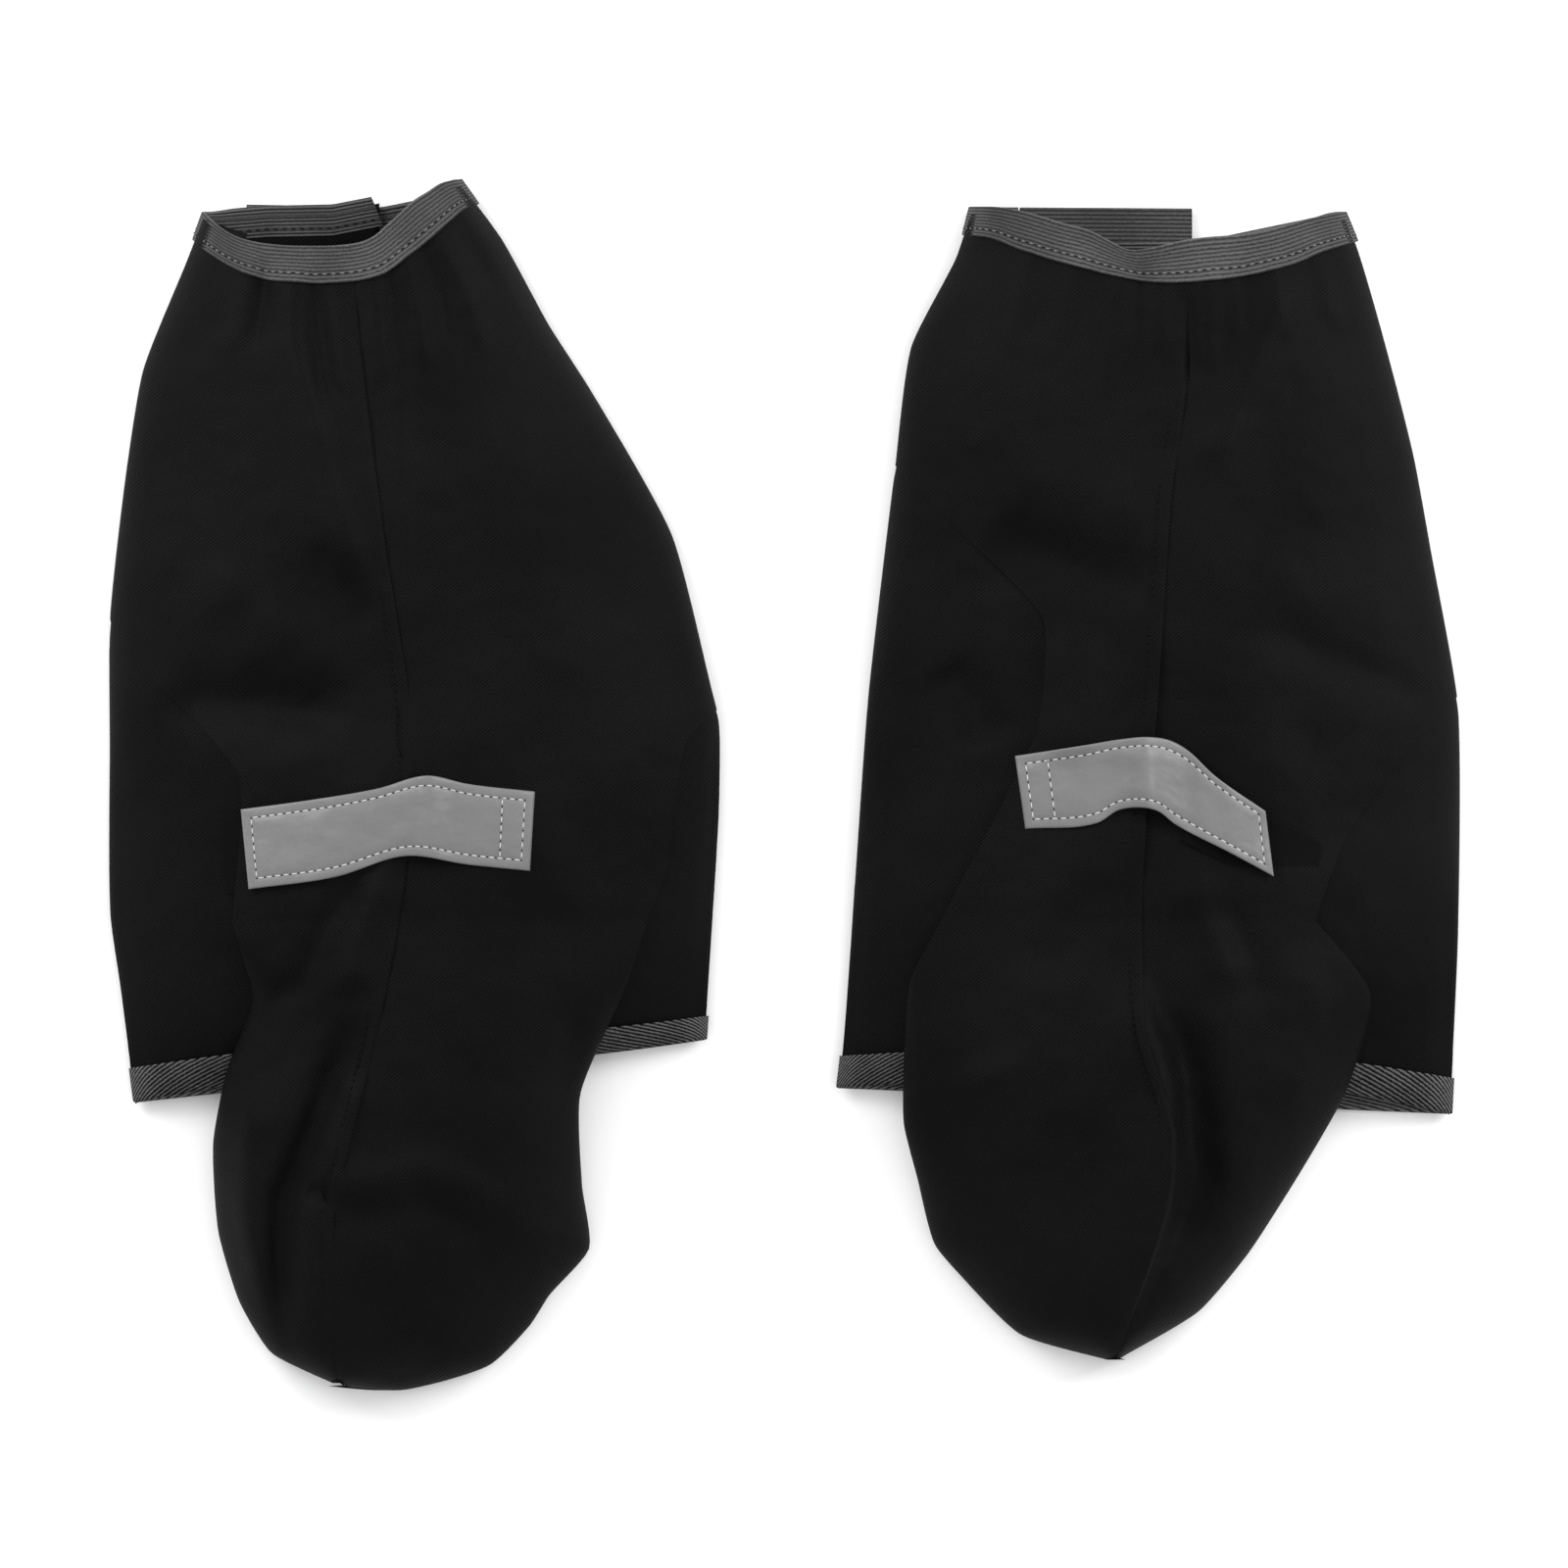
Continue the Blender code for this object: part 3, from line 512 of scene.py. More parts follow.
def front_skin(boot, side, u, v):
    """u 0 at the seam and 1 at the turned-under edge, v 0 at the collar and 1 at the toe tip."""
    share = np.sin(np.pi / 2 * np.clip(u / TURN_UNDER, 0.0, 1.0))
    under = np.clip((u - TURN_UNDER) / (1.0 - TURN_UNDER), 0.0, 1.0)
    row = np.clip(v / FRONT_PART, 0.0, 1.0) * HINGE_ROW
    edge = boot["edge"][side]
    edge_y = row_y(edge[0][1], edge[-1][1], row)
    seam_y = row_y(boot["seam"][0][1], SEAM_END_Y, row)
    edge_x = np.where(edge_y > turn_start(boot, side), x_at(boot["edge_line"][side], edge_y),
                      x_at(boot["turn_line"][side], edge_y))
    x = mix(x_at(boot["seam_line"], seam_y), edge_x, share)
    sag = y_at(boot["mouth_line"], x) - mix(boot["seam"][0][1], edge[0][1], share**DROOP) - 2.0
    y = mix(seam_y, edge_y, share**DROOP) + sag * np.clip(1.0 - row / 0.25, 0.0, 1.0) ** 2
    z = front_height(boot, x, y)
    reach = np.clip((v - FRONT_PART) / (1.0 - FRONT_PART), 0.0, TIP_REACH)
    seam_at, edge_at = walk(boot["toe_seam_line"], reach), walk(boot["hood_line"][side], reach)
    hood_x, hood_y = mix(seam_at[0], edge_at[0], share), mix(seam_at[1], edge_at[1], share)
    hood_z = hood_height(boot, side, hood_x, hood_y, share, reach)
    toe = v > FRONT_PART
    x, y, z = np.where(toe, hood_x, x), np.where(toe, hood_y, y), np.where(toe, hood_z, z)
    free = ease((boot["crease"][side] - y) / 25.0)
    drop = mix(LYING_DROP, FREE_DROP, free) * np.sin(np.pi / 2 * under)
    tuck = FREE_TUCK * free * (1.0 - np.cos(np.pi / 2 * under))
    return x - side * tuck, y, z + FREE_LIFT * free - drop


def front_panel(boot, side, u, v):
    """The +X panel reaches a little way under the other at the seam."""
    x, y, z = front_skin(boot, side, u, v)
    lap = np.clip(1.0 - u, 0.0, 1.0) ** 20 * ease((1.0 - v) / 0.04) * (side > 0)
    return x - SEAM_LAP * lap, y, z - SEAM_STEP * lap


for gaiter in (LEFT, RIGHT):
    for side in (-1, 1):
        label = f"{gaiter['name']}_{side_name(gaiter, side)}"
        panel = cloth(f"{label}_front_panel", 74, 250,
                      lambda u, v, boot=gaiter, side=side: front_panel(boot, side, u, v), black_cloth)
        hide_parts(f"{label}_toe_panel")
        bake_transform(panel)


# The front seam tapes.
# Clear-coated tape, 20 mm wide, welded under each front seam to keep it watertight; it hides inside.
TAPE_HALF, TAPE_DEPTH = 0.06, 2.2  # half its width as a share of a panel, and how far it lies below the cloth
seam_film = bpy.data.materials.new("seam_film")
shader_of(seam_film, (0.02, 0.02, 0.022), 0.35)


def under_seam(boot, u, v):
    """u 0 to 1 across the tape, v 0 under the collar and 1 near the toe tip."""
    across, along = 2.0 * u - 1.0, mix(0.06, 0.93, v)
    near = front_skin(boot, -1, TAPE_HALF * np.maximum(-across, 0.0), along)
    reach = TAPE_HALF
    if boot is RIGHT:  # the toe's deep fold leaves no room on this side
        reach = TAPE_HALF * (1.0 - ease((along - 0.57) / 0.06))
    far = front_skin(boot, 1, reach * np.maximum(across, 0.0), along)
    x, y, z = (np.where(across < 0, near[i], far[i]) for i in range(3))
    return x, y, z - TAPE_DEPTH


for gaiter in (LEFT, RIGHT):
    label = gaiter["name"]
    tape = cloth(f"{label}_seam_tape", 12, 200, lambda u, v, boot=gaiter: under_seam(boot, u, v), seam_film,
                 0.3)
    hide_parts(f"{label}_front_seam_tape", f"{label}_toe_seam_tape")
    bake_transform(tape)


# The heel and back panels.
# The same cuts carry on round the side folds to the wrapped back, and down round the heel to a taped hem.
# Their front edges lie hidden under the turned edges of the front panels.
HIDDEN, INSET = 17.0, 0.9  # how far the front edge reaches under, and a joined side lies inside the front's
HEEL_STEP, HEEL_SINK = 0.6, 3.0  # how far it lies under the front panel, and its hidden edge below that
LAP_LIFT, END_LIFT = 3.3, 1.3  # how far the lap lies over the flap, and the ends of the back over the table
SIDE_AT = 0.45  # share of a panel's columns in front of its side fold
LEFT["back_top"] = {-1: [(-222.5, 218.5), (-198.0, 220.5), (-173.0, 221.0), (-155.0, 224.5)],
                    1: [(-206.0, 221.0), (-154.0, 220.0), (-139.0, 223.0), (-123.5, 231.0)]}
RIGHT["back_top"] = {-1: [(71.5, 220.5), (80.0, 220.0), (157.0, 219.5)],
                     1: [(105.0, 206.5), (160.0, 207.0), (215.0, 218.5)]}
LEFT.update(lap_edge=-155.0, flap_hinge=-139.0, flap_edge=-206.0)
RIGHT.update(lap_edge=105.0, flap_hinge=90.0, flap_edge=156.4)


def back_height(boot, side, x, y, edge_x, top, bottom):
    near = np.minimum(top - y, y - bottom) / 25.0
    z = CLOTH / 2 + END_LIFT * np.clip(2.0 - 2.0 * near, 0.0, 1.0)
    if side != boot["inner"]:
        z = z + LAP_LIFT * np.clip((side * (boot["flap_edge"] - x) + 60.0) / 30.0, 0.0, 1.0)
    turn = np.clip(1.0 - np.abs(x - edge_x) / FOLD_REACH, 0.0, 1.0)
    return mix(z, SIDE_FOLD, 1.0 - np.sqrt(1.0 - turn**2))


def back_place(boot, side, x, row):
    edge = boot["edge"][side]
    edge_y = row_y(edge[0][1], edge[-1][1], row)
    edge_x = x_at(boot["edge_line"][side], edge_y)
    down = (edge[0][1] - edge_y) / (edge[0][1] - edge[-1][1])
    hem = np.array([boot["edge"][-1][-1], boot["edge"][1][-1]], float)
    top, bottom = y_at(np.array(boot["back_top"][side], float), x), y_at(hem, x)
    y = mix(top, bottom, down)
    return y, back_height(boot, side, x, y, edge_x, top, bottom)


def rear_edge(boot, side):
    """The x of a panel's rear edge: on the inner side it meets the flap, on the outer side it is the lap."""
    return boot["flap_hinge"] + side * 0.2 if side == boot["inner"] else boot["lap_edge"]


def heel_panel(boot, side, u, v):
    """u 0 at the hidden front edge, SIDE_AT at the side fold and 1 at the rear edge; v 0 collar, 1 hem."""
    edge = boot["edge"][side]
    edge_y = row_y(edge[0][1], edge[-1][1], v)
    inset = INSET * ease((edge_y - turn_start(boot, side) + 8) / 16)
    edge_x = x_at(boot["edge_line"][side], edge_y) - side * inset
    hood = boot["hood_line"][side]
    lower = x_at(hood[: len(hood) * 2 // 3], np.maximum(edge_y, -126.0))
    leave = np.where(edge_y > HINGE_Y, x_at(boot["turn_line"][side], edge_y), lower) - side * HIDDEN
    inner_x = np.where(edge_y > turn_start(boot, side), edge_x - side * HIDDEN, leave)
    front = np.clip(u / SIDE_AT, 0.0, 1.0)
    rear = np.clip((u - SIDE_AT) / (1.0 - SIDE_AT), 0.0, 1.0)
    share = np.sin(np.pi / 2 * front)
    x = mix(inner_x, edge_x, share)
    seam_y = row_y(boot["seam"][0][1], SEAM_END_Y, v)
    seam_x = x_at(boot["seam_line"], seam_y)
    y = mix(seam_y, edge_y, np.clip((x - seam_x) / (edge_x - seam_x), 0, 1) ** DROOP)
    free = ease((boot["crease"][side] - y) / 40.0)
    z = front_height(boot, x, y) - HEEL_STEP - HEEL_SINK * free * ease((1.0 - front) / 0.3)
    back_x = mix(edge_x, rear_edge(boot, side), 1.0 - np.cos(np.pi / 2 * rear))
    back_y, back_z = back_place(boot, side, back_x, v)
    behind = u > SIDE_AT
    return np.where(behind, back_x, x), np.where(behind, back_y, y), np.where(behind, back_z, z)


for gaiter in (LEFT, RIGHT):
    for side in (-1, 1):
        label = f"{gaiter['name']}_{side_name(gaiter, side)}"
        panel = cloth(f"{label}_heel_panel", 70, 150,
                      lambda u, v, boot=gaiter, side=side: heel_panel(boot, side, u, mix(0.006, 0.992, v)),
                      black_cloth, up=(side, 0, 0))
        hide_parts(f"{label}_leg_panel")
        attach(panel, "legs")


# The collar elastics.
# Grey ribbed elastic, 30 mm wide, folded in half over the top edge all the way round and held by one
# running stitch near its lower edge. Its cut ends are left raw.
COLLAR_WIDTH, RIBS, RIB_RISE = 14.0, 9.0, 0.24
LEFT["collar_hem"] = [(-225.9, 208.3), (-221.6, 204.6), (-214.3, 199.6), (-205.2, 195.0), (-196.1, 192.6),
                      (-185.1, 191.7), (-174.2, 191.4), (-165.1, 192.0), (-155.1, 194.1), (-148.7, 197.8),
                      (-141.4, 203.7), (-134.1, 209.6), (-126.9, 216.4), (-122.3, 220.1), (-117.5, 221.9)]
RIGHT["collar_hem"] = [(69.0, 210.2), (78.9, 209.0), (90.6, 204.3), (102.4, 200.4), (116.6, 196.6),
                       (128.4, 193.7), (142.5, 191.7), (156.6, 191.9), (173.1, 193.7), (187.3, 196.6),
                       (196.7, 199.6), (206.1, 203.7), (219.3, 207.8)]
LEFT["cut"], RIGHT["cut"] = 5.4, 0.0  # slant of the cut end
OVER = CLOTH / 2 + 0.7  # from the middle of the cloth to the middle of a tape's layer
elastic = twill("ribbed_elastic", (0.022, 0.022, 0.0223), (0.09, 0.09, 0.091), 0.00148, 0.8, 1.5708, 0.0001,
                contrast=1.8)


def layered(middle, u, d, reach):
    """A point off a middle surface middle(u, d), by reach millimetres towards its outside."""
    step = 1e-3
    ahead, behind = middle(np.minimum(u + step, 1.0), d), middle(np.maximum(u - step, 0.0), d)
    along = np.stack(ahead, 1) - np.stack(behind, 1)
    down = np.stack(middle(u, d + 0.5), 1) - np.stack(middle(u, d - 0.5), 1)
    normal = np.cross(along, down)
    normal /= np.linalg.norm(normal, axis=1, keepdims=True) + 1e-12
    point = np.stack(middle(u, d), 1) - normal * np.asarray(reach)[:, None]
    return point[:, 0], point[:, 1], point[:, 2]


def tape_profile(v, width, ribs=1.0, relief=0.0):
    """Depth below the bound edge, share of the offset and rib height, round a folded tape from v 0 to 1."""
    outer, inner = v < 0.46, v > 0.54
    turn = np.clip((v - 0.46) / 0.08, 0.0, 1.0)
    inside = np.where(inner, 0.76 * width * (v - 0.54) / 0.46, -1.1 * np.sin(np.pi * turn))
    depth = np.where(outer, width * (1.0 - v / 0.46), inside)
    layer = np.where(outer, 1.0, np.where(inner, -1.0, np.cos(np.pi * turn)))
    return depth, layer, relief * np.cos(2 * np.pi * ribs * depth / width) * np.abs(layer)


def collar_middle(boot, first, last, u, d):
    """The cloth's middle under the collar: place -1..1 is the front between its side folds."""
    place = mix(first, last, u)
    front = np.clip(0.5 + 0.5 * np.sin(np.pi / 2 * np.clip(place, -1.0, 1.0)), 0.0, 1.0)
    top, bottom = walk(boot["mouth_line"], front), walk(boot["collar_line"], front)
    share = d / COLLAR_WIDTH
    x, y = mix(top[0], bottom[0], share), mix(top[1], bottom[1], share)
    z = front_height(boot, x, y)
    for side in (-1, 1):
        end = -1 if side > 0 else 0
        behind = side * place > 1.0
        far = np.clip(side * place - 1.0, 0.0, 1.0)
        edge_x = mix(boot["mouth_line"][end, 0], boot["collar_line"][end, 0], share)
        near = np.clip(1.0 - np.abs(x - edge_x) / 8.0, 0.0, 1.0)
        z = np.where(near > 0, SIDE_FOLD + (z - SIDE_FOLD) * np.sqrt(1.0 - near**2), z)
        rear_x = rear_edge(boot, side) + (0.0 if side == boot["inner"] else boot["cut"]) * (share - 0.5)
        back_x = mix(edge_x, rear_x, 1.0 - np.cos(np.pi / 2 * far))
        end_y = mix(boot["mouth_line"][end, 1], boot["collar_line"][end, 1], share)
        level = y_at(np.array(boot["back_top"][side], float), back_x) - d
        back_y = mix(end_y, level, ease(np.abs(back_x - edge_x) / 12.0))
        back_z = back_height(boot, side, back_x, back_y, edge_x, back_y + d, -200.0)
        x, y = np.where(behind, back_x, x), np.where(behind, back_y, y)
        z = np.where(behind, back_z, z)
    return x, y, z


def collar_place(boot, u, v):
    depth, layer, rib = tape_profile(v, COLLAR_WIDTH, RIBS, RIB_RISE)
    flat = ease(np.abs(np.abs(mix(-2.0, 2.0, u)) - 1.0) / 0.35)
    return layered(lambda a, b: collar_middle(boot, -2.0, 2.0, a, b), u, depth, (OVER + rib * flat) * layer)


for gaiter in (LEFT, RIGHT):
    gaiter["collar_line"] = rounded(gaiter["collar_hem"], 6, 1.0)
    collar = cloth(f"{gaiter['name']}_collar", 230, 96,
                   lambda u, v, boot=gaiter: collar_place(boot, u, v), elastic, 0.7,
                   weave=lambda u, v: (u * 470.0, v * 29.0), outer=0.4)
    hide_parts(f"{gaiter['name']}_collar_elastic")
    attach(collar, "legs")


# The rear flaps.
# The inner side's cloth carries on behind the other side's edge and closes on it with a strip of hook and
# loop. It has its own length of elastic along the top and hem tape along the bottom.
HEM_WIDTH, STRIP_WIDTH = 12.0, 25.0
STRIP_ROWS = (0.1, 0.86)  # where the strips of hook and loop start and end
hem_twill = twill("herringbone_tape", (0.004, 0.004, 0.004), (0.13, 0.13, 0.13), 0.0015, 0.8, 1.18, 0.0004,
                  contrast=2.2)
hooks = twill("hook_and_loop", (0.0022, 0.0022, 0.0022), (0.0052, 0.0052, 0.0052), 0.0011, 0.95, 0.785,
              0.0002)


def flap_middle(boot, share, row):
    side = boot["inner"]
    x = mix(boot["flap_hinge"] - side * 0.3, boot["flap_edge"], share)
    y, z = back_place(boot, side, x, row)
    return x, y, z


def back_length(boot, side):
    return boot["edge"][side][0][1] - boot["edge"][side][-1][1]


def flap_band(boot, at_top, u, v):
    """The folded elastic on the flap's top edge, or the folded tape on its bottom edge."""
    profile = (COLLAR_WIDTH, RIBS, RIB_RISE) if at_top else (HEM_WIDTH,)
    depth, layer, rib = tape_profile(v, *profile)
    length = back_length(boot, boot["inner"])

    def middle(a, d):
        x, y, z = flap_middle(boot, a, np.clip(d / length if at_top else 1.0 - d / length, 0.0, 1.0))
        return x, y + np.where(d < 0, -d if at_top else d, 0.0), z

    return layered(middle, u, depth, (OVER + rib) * layer)


def flap_strip(boot, across, row, start, lift):
    width = abs(boot["flap_edge"] - boot["flap_hinge"])
    x, y, z = flap_middle(boot, 1.0 - (start + STRIP_WIDTH * across) / width, mix(*STRIP_ROWS, row))
    return x, y, z + lift


def lap_strip(boot, across, row, lift):
    x = boot["lap_edge"] - boot["inner"] * (6.0 + STRIP_WIDTH * across)
    y, z = back_place(boot, -boot["inner"], x, mix(*STRIP_ROWS, row))
    return x, y, z + lift


for gaiter in (LEFT, RIGHT):
    label, down = gaiter["name"], (0, 0, -1)
    flap = cloth(f"{label}_rear_flap_cloth", 24, 120,
                 lambda u, v, boot=gaiter: flap_middle(boot, u, mix(0.006, 0.992, v)), black_cloth, up=down)
    flap_top = cloth(f"{label}_rear_flap_collar", 60, 96,
                     lambda u, v, boot=gaiter: flap_band(boot, True, u, v),
                     elastic, 0.7, up=(0, 0, -gaiter["inner"]),
                     weave=lambda u, v: (u * 66.0, v * 29.0), outer=0.4)
    flap_hem = cloth(f"{label}_rear_flap_tape", 60, 40,
                     lambda u, v, boot=gaiter: flap_band(boot, False, u, v),
                     hem_twill, 0.6, up=(0, 0, -gaiter["inner"]),
                     weave=lambda u, v: (u * 66.0, v * 25.0), outer=0.4)
    hook_strip = cloth(f"{label}_rear_hooks", 10, 80,
                       lambda u, v, boot=gaiter: flap_strip(boot, u, v, 4.0, 0.95), hooks, 0.8)
    loop_strip = cloth(f"{label}_rear_loops", 10, 80,
                       lambda u, v, boot=gaiter: lap_strip(boot, u, v, -0.95), hooks, 0.8, up=down)
    for piece, node, size in ((flap, "rear_flap", (0.066, 0.33)),
                              (flap_top, "rear_flap_elastic", (0.03, 0.066)),
                              (flap_hem, "rear_flap_hem_tape", (0.025, 0.066)),
                              (hook_strip, "rear_hook_strip", (0.025, 0.255)),
                              (loop_strip, "rear_loop_strip", (0.025, 0.255))):
        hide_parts(f"{label}_{node}")
        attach(piece, "legs" if piece is loop_strip else f"{label}_flap")


# The heel hem tapes.
# Herringbone twill tape, 25 mm wide, folded over the cloth's lower edge from under the front panel round
# the side fold to the rear edge.
def hem_place(boot, side, u, v):
    depth, layer, _ = tape_profile(v, HEM_WIDTH)
    length = back_length(boot, side)

    def middle(a, d):
        x, y, z = heel_panel(boot, side, a, np.clip(1.0 - d / length, 0.0, 1.0))
        return x, y + np.where(d < 0, d, 0.0), z

    return layered(middle, u, depth, -side * OVER * layer)


for gaiter in (LEFT, RIGHT):
    for side in (-1, 1):
        label = f"{gaiter['name']}_{side_name(gaiter, side)}"
        tape = cloth(f"{label}_hem", 130, 40,
                     lambda u, v, boot=gaiter, side=side: hem_place(boot, side, u, v), hem_twill, 0.6,
                     up=(side, 0, 0), weave=lambda u, v: (u * 150.0, v * 25.0),
                     outer=0.4)
        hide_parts(f"{label}_hem_tape")
        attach(tape, "legs")
        hem_line = np.stack(heel_panel(gaiter, side, np.linspace(0.0, 1.0, 200), np.full(200, 0.98)), 1) * MM


# The half soles.
# A tough rubber-faced cloth under the toes, sewn to the hood's turned-under edge, with a taped rear edge.
SOLE_START_Y, SOLE_RUN = -96.0, 190.0  # its rear edge, and the toe seam's length
grip = twill("grip_sole", (0.012, 0.012, 0.012), (0.028, 0.028, 0.028), 0.004, 0.6, 0.785, 0.0008)


def sole_middle(boot, u, reach):
    across = mix(-0.97, 0.97, u)
    points = []
    for side in (-1, 1):
        seam_at, edge_at = walk(boot["toe_seam_line"], reach), walk(boot["hood_line"][side], reach)
        points.append([mix(seam_at[axis], edge_at[axis], np.abs(across)) for axis in (0, 1)])
    x, y = (np.where(across < 0, points[0][i], points[1][i]) for i in (0, 1))
    low = np.minimum(hood_edge_height(boot, -1, y), hood_edge_height(boot, 1, y))
    return x, y, low - 2.1 + 0.4 * (1.0 - across**2)


def sole_start(boot):
    reaches = np.linspace(0.0, 1.0, 201)
    return float(np.interp(-SOLE_START_Y, -walk(boot["toe_seam_line"], reaches)[1], reaches))


def sole_band(boot, u, v):
    depth, layer, _ = tape_profile(v, HEM_WIDTH)
    start = sole_start(boot)

    def middle(a, d):
        x, y, z = sole_middle(boot, mix(0.02, 0.98, a), start + np.maximum(d, 0.0) / SOLE_RUN)
        return x, y + np.where(d < 0, -d, 0.0), z

    return layered(middle, u, depth, -OVER * layer)


for gaiter in (LEFT, RIGHT):
    label, start = gaiter["name"], sole_start(gaiter)
    sole = cloth(f"{label}_sole", 60, 60,
                 lambda u, v, boot=gaiter, start=start: sole_middle(boot, u, mix(start, 0.985, v)),
                 grip, 0.7, up=(0, 0, -1))
    band = cloth(f"{label}_sole_tape", 60, 40, lambda u, v, boot=gaiter: sole_band(boot, u, v), hem_twill,
                 0.6, up=(0, 0, -1), weave=lambda u, v: (u * 130.0, v * 25.0), outer=0.4)
    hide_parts(f"{label}_half_sole")
    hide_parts(f"{label}_sole_hem_tape")
    for piece, size in ((sole, (0.14, 0.13)), (band, (0.025, 0.16))):
        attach(piece, f"{label}_toe_hood")

# The strap patches.
# A patch of black loop tape is sewn to the outer front panel over the instep, where the strap's free end
# lies. The strap's hooks grip it.
LEFT["loop_patch"] = [(-165.0, -8.0), (-162.0, -38.0), (-216.0, -12.0), (-213.5, -42.5)]
RIGHT["loop_patch"] = [(163.3, 0.3), (151.6, -21.8), (205.0, -22.6), (203.4, -48.5)]


def patch_place(boot, u, v):
    near_top, near_low, far_top, far_low = (np.array(corner) for corner in boot["loop_patch"])
    x = mix(mix(near_top[0], far_top[0], u), mix(near_low[0], far_low[0], u), v)
    y = mix(mix(near_top[1], far_top[1], u), mix(near_low[1], far_low[1], u), v)
    return x, y, front_height(boot, x, y) + 0.9


for gaiter in (LEFT, RIGHT):
    label = gaiter["name"]
    patch = cloth(f"{label}_loop_patch", 50, 30, lambda u, v, boot=gaiter: patch_place(boot, u, v), hooks,
                  0.8)
    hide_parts(f"{label}_strap_loop_patch")
    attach(patch, "legs")

# The reflective straps.
# Silver reflective tape on a firm backing, 30 mm wide, sewn to the inner side in a narrow box and closed
# over the instep. A stitch runs all round 3.6 mm inside its edge; the hook patch is underneath.
STRAP_BOX, STRAP_RIM, STRAP_WIDTH = 13.0, 3.6, 29.5
GROOVE, GROOVE_WIDTH = 0.35, 0.7  # how deep and how wide the stitches sink
LEFT["strap_top"] = [(-95.1, -2.9), (-120.6, 0.0), (-136.4, 3.2), (-155.4, -1.8), (-180.0, -6.0),
                     (-207.5, -9.7)]
LEFT["strap_bottom"] = [(-97.0, -33.2), (-120.6, -30.8), (-144.3, -27.5), (-171.2, -35.5), (-204.5, -40.2)]
RIGHT["strap_top"] = [(88.2, 10.7), (115.0, 14.8), (128.0, 17.0), (138.6, 17.9), (146.7, 16.8),
                      (153.2, 13.5), (164.6, 3.0), (183.8, -10.4)]
RIGHT["strap_bottom"] = [(92.1, -17.1), (119.5, -14.9), (128.0, -9.9), (136.2, -9.0), (142.7, -10.4),
                         (149.2, -15.3), (171.1, -26.7), (187.0, -35.3)]
# Waves of the strap: share of its length, rise and reach.
LEFT["strap_waves"] = [(0.36, 3.4, 0.06), (0.5, -1.4, 0.05), (0.68, 1.4, 0.07)]
RIGHT["strap_waves"] = [(0.33, -0.3, 0.05), (0.47, 4.2, 0.06), (0.64, -1.4, 0.06), (0.84, 1.0, 0.06)]
silver = twill("reflective_tape", (0.12, 0.12, 0.122), (0.18, 0.18, 0.183), 0.0006, 0.38, 0.785, 0.00004,
               specular=0.3)


def strap_length(boot):
    sides = [np.linalg.norm(np.diff(line, axis=0), axis=1).sum() for line in boot["strap_line"]]
    return 0.5 * sum(sides)


def strap_top_surface(boot, u, v):
    """The strap's upper face: u from the stitched end to the free end, v from its upper to its lower edge."""
    top, bottom = walk(boot["strap_line"][0], u), walk(boot["strap_line"][1], u)
    x, y = mix(top[0], bottom[0], v), mix(top[1], bottom[1], v)
    waves = sum(rise * np.exp(-(((u - at) / reach) ** 2)) for at, rise, reach in boot["strap_waves"])
    return x, y, front_height(boot, x, y) + mix(1.6, 3.3, np.minimum(u * 2.0, 1.0)) + 0.7 + waves


def strap_place(boot, u, v):
    length = strap_length(boot)
    x, y, z = strap_top_surface(boot, u, v)
    inside = np.minimum(np.minimum(v, 1.0 - v) * STRAP_WIDTH, np.minimum(u, 1.0 - u) * length)
    groove = np.exp(-(((inside - STRAP_RIM) / GROOVE_WIDTH) ** 2))
    groove = groove + 0.8 * np.exp(-(((u * length - STRAP_BOX) / GROOVE_WIDTH) ** 2))
    soft = GROOVE * (ease((inside - STRAP_RIM) / 4.0) - ease(1.0 - inside / 0.8))
    return x, y, z + soft - GROOVE * np.minimum(groove, 1.0)


def hook_place(boot, u, v):
    x, y, z = strap_top_surface(boot, mix(0.62, 0.96, u), mix(0.12, 0.88, v))
    return x, y, z - 1.5


def strap_blend(piece, boot):
    """Bakes the strap's placement into its mesh; it finds the middle of the row of stitches that closes the
    box, and a point a little ahead, but turns nothing about them.
    """
    box = STRAP_BOX / strap_length(boot)
    x, y, _ = strap_top_surface(boot, np.array([box]), np.array([0.5]))
    ahead_x, ahead_y, _ = strap_top_surface(boot, np.array([box + 0.05]), np.array([0.5]))
    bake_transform(piece)


for gaiter in (LEFT, RIGHT):
    label = gaiter["name"]
    gaiter["strap_line"] = [rounded(gaiter[key], soft=1.0) for key in ("strap_top", "strap_bottom")]
    strap = cloth(f"{label}_strap_tape", 150, 56, lambda u, v, boot=gaiter: strap_place(boot, u, v), silver,
                  1.3, weave=lambda u, v: (u * 115.0, v * 30.0))
    strap_hooks = cloth(f"{label}_strap_hooks", 40, 24, lambda u, v, boot=gaiter: hook_place(boot, u, v),
                        hooks, 0.8)
    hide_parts(f"{label}_instep_strap", f"{label}_strap_fixed_end")
    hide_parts(f"{label}_strap_hook_patch")
    strap_blend(strap, gaiter)
    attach(strap_hooks, f"{label}_strap")

# The stitching.
# White thread on the straps, grey on the collars and black beside the front seams. Each stitch is a short
# soft capsule that sinks into the tape at both ends, and between two stitches a black capsule is the painted
# shade of the needle hole.
STRAP_PITCH, COLLAR_PITCH, SEAM_PITCH = 3.3, 3.4, 3.0
white_thread = bpy.data.materials.new("white_thread")
shader_of(white_thread, (0.5, 0.5, 0.5), 0.6)
grey_thread = bpy.data.materials.new("grey_thread")
shader_of(grey_thread, (0.16, 0.16, 0.16), 0.6)
# black thread beside the seams and inside the collars, and also the painted shade of the needle holes
black_thread_and_hole_shade = bpy.data.materials.new("black_thread_and_hole_shade")
shader_of(black_thread_and_hole_shade, (0.004, 0.004, 0.004), 0.6)


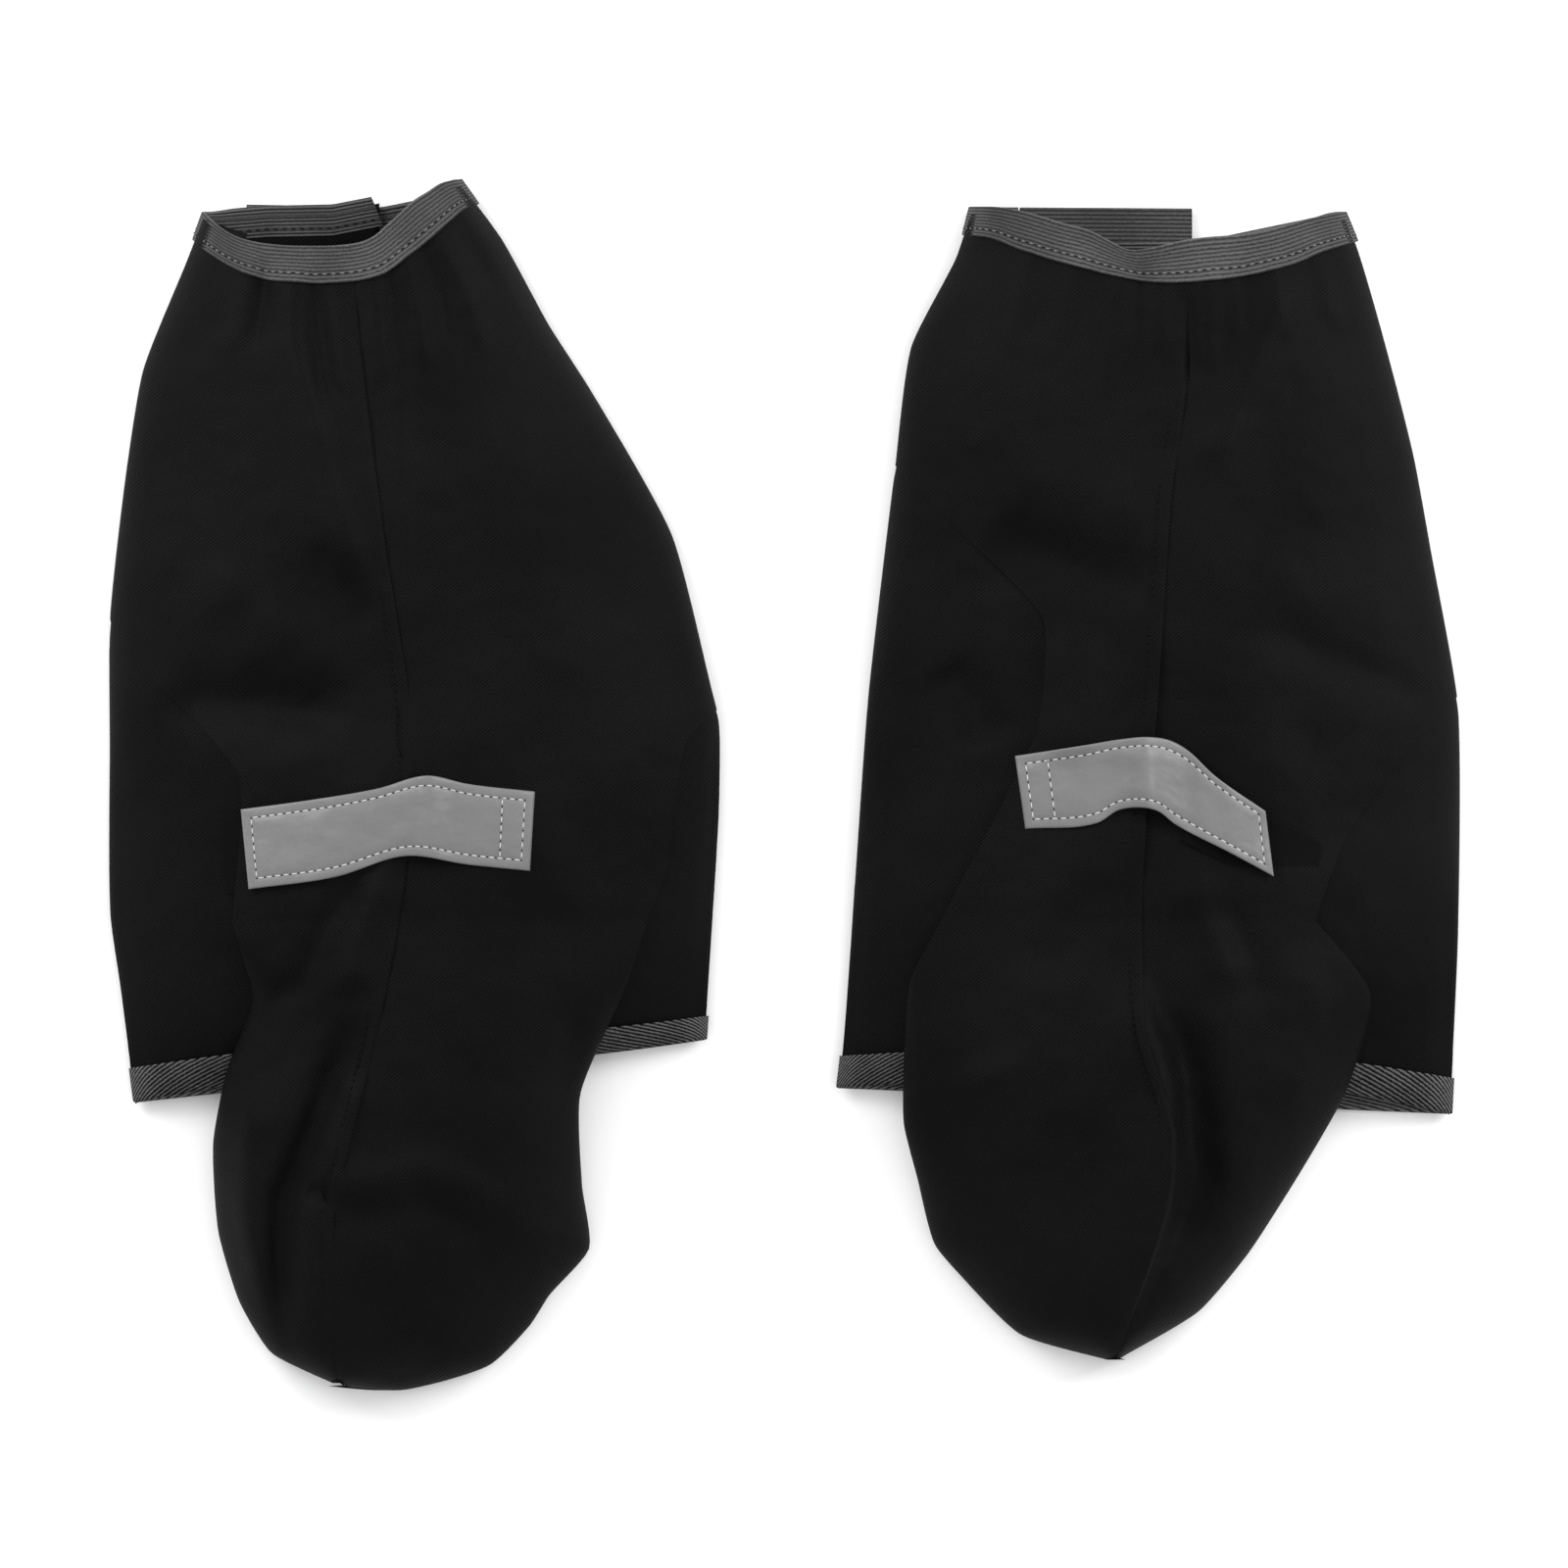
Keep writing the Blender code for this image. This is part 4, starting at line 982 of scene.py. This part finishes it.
def stitches(name, rows, surface, pitch, fill, size, material, lift=0.0, start=0.5):
    """Stitches along rows, each from one (u, v) to another on surface(u, v): fill is a stitch's share of the
    pitch, and start is the place of the first one's middle in it."""
    mesh = bmesh.new()
    along = np.linspace(0.0, 1.0, 240)
    for first, last in rows:
        line = np.stack(surface(mix(first[0], last[0], along), mix(first[1], last[1], along)), 1)
        run = np.concatenate([[0.0], np.cumsum(np.linalg.norm(np.diff(line, axis=0), axis=1))])
        count = max(int(run[-1] / pitch), 1)
        for number in range(count):
            middle = (number + start) * run[-1] / count
            at, ahead, behind = (Vector([float(np.interp(reach, run, line[:, axis])) for axis in range(3)])
                                 for reach in (middle, middle + 0.5, middle - 0.5))
            turn = (ahead - behind).to_track_quat("X", "Z").to_matrix().to_4x4()
            shape = Matrix.Diagonal((0.5 * fill * pitch, 0.5 * size, 0.4 * size, 1.0))
            place = Matrix.Translation(at + Vector((0, 0, lift))) @ turn @ shape
            bmesh.ops.create_uvsphere(mesh, u_segments=6, v_segments=5, radius=1.0,
                                      matrix=Matrix.Scale(MM, 4) @ place)
    data = bpy.data.meshes.new(name)
    mesh.to_mesh(data)
    mesh.free()
    data.shade_smooth()
    data.materials.append(material)
    piece = bpy.data.objects.new(name, data)
    gaiters.objects.link(piece)
    return piece


for gaiter in (LEFT, RIGHT):
    label = gaiter["name"]
    length = strap_length(gaiter)
    rim_u, rim_v, box_u = STRAP_RIM / length, STRAP_RIM / STRAP_WIDTH, (STRAP_BOX - 1.0) / length
    ring = [(rim_u, rim_v), (1 - rim_u, rim_v), (1 - rim_u, 1 - rim_v), (rim_u, 1 - rim_v), (rim_u, rim_v)]
    rows = [ring[i : i + 2] for i in range(4)] + [[(box_u, rim_v), (box_u, 1 - rim_v)]]
    collar_rows, inside_rows = [[(0.003, 0.115), (0.997, 0.115)]], [[(0.003, 0.885), (0.997, 0.885)]]

    def strap_face(u, v, boot=gaiter):
        return strap_place(boot, u, v)

    def collar_face(u, v, boot=gaiter):
        return collar_place(boot, u, v)

    def flap_face(u, v, boot=gaiter):
        return flap_band(boot, True, u, v)

    def seam_face(u, v, boot=gaiter):
        x, y, z = front_panel(boot, -1, 0.0 * u, mix(0.03, 0.97, v))
        return x - 5.0, y, z - 0.05

    threads = stitches(f"{label}_strap_threads", rows, strap_face, STRAP_PITCH, 0.74, 0.55, white_thread,
                       0.05)
    # painted shade of the needle holes: black capsules in the gaps between the white stitches
    holes = stitches(f"{label}_strap_needle_hole_shade", rows, strap_face, STRAP_PITCH, 0.24, 0.6,
                     black_thread_and_hole_shade, 0.05, 0.0)
    for piece in (threads, holes):
        strap_blend(piece, gaiter)

    topstitch = stitches(f"{label}_seam_threads", [[(0.0, 0.0), (0.0, 1.0)]], seam_face, SEAM_PITCH, 0.6, 0.6,
                         black_thread_and_hole_shade)
    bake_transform(topstitch)

    collar_row = stitches(f"{label}_collar_threads", collar_rows, collar_face, COLLAR_PITCH, 0.5, 0.5,
                          grey_thread, 0.15)
    # painted shade of the needle holes: black capsules in the gaps between the grey stitches
    collar_hole_shade = stitches(f"{label}_collar_needle_hole_shade", collar_rows, collar_face, COLLAR_PITCH, 0.5, 0.55,
                            black_thread_and_hole_shade, 0.15, 0.0)
    inside_row = stitches(f"{label}_collar_inner_threads", inside_rows, collar_face, COLLAR_PITCH, 0.6, 0.5,
                          black_thread_and_hole_shade)
    flap_row = stitches(f"{label}_rear_flap_threads", [[(0.02, 0.885), (0.98, 0.885)]], flap_face,
                        COLLAR_PITCH, 0.6, 0.5, black_thread_and_hole_shade)
    for piece in (collar_row, collar_hole_shade, inside_row, flap_row):
        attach(piece, f"{label}_flap" if piece is flap_row else "legs")
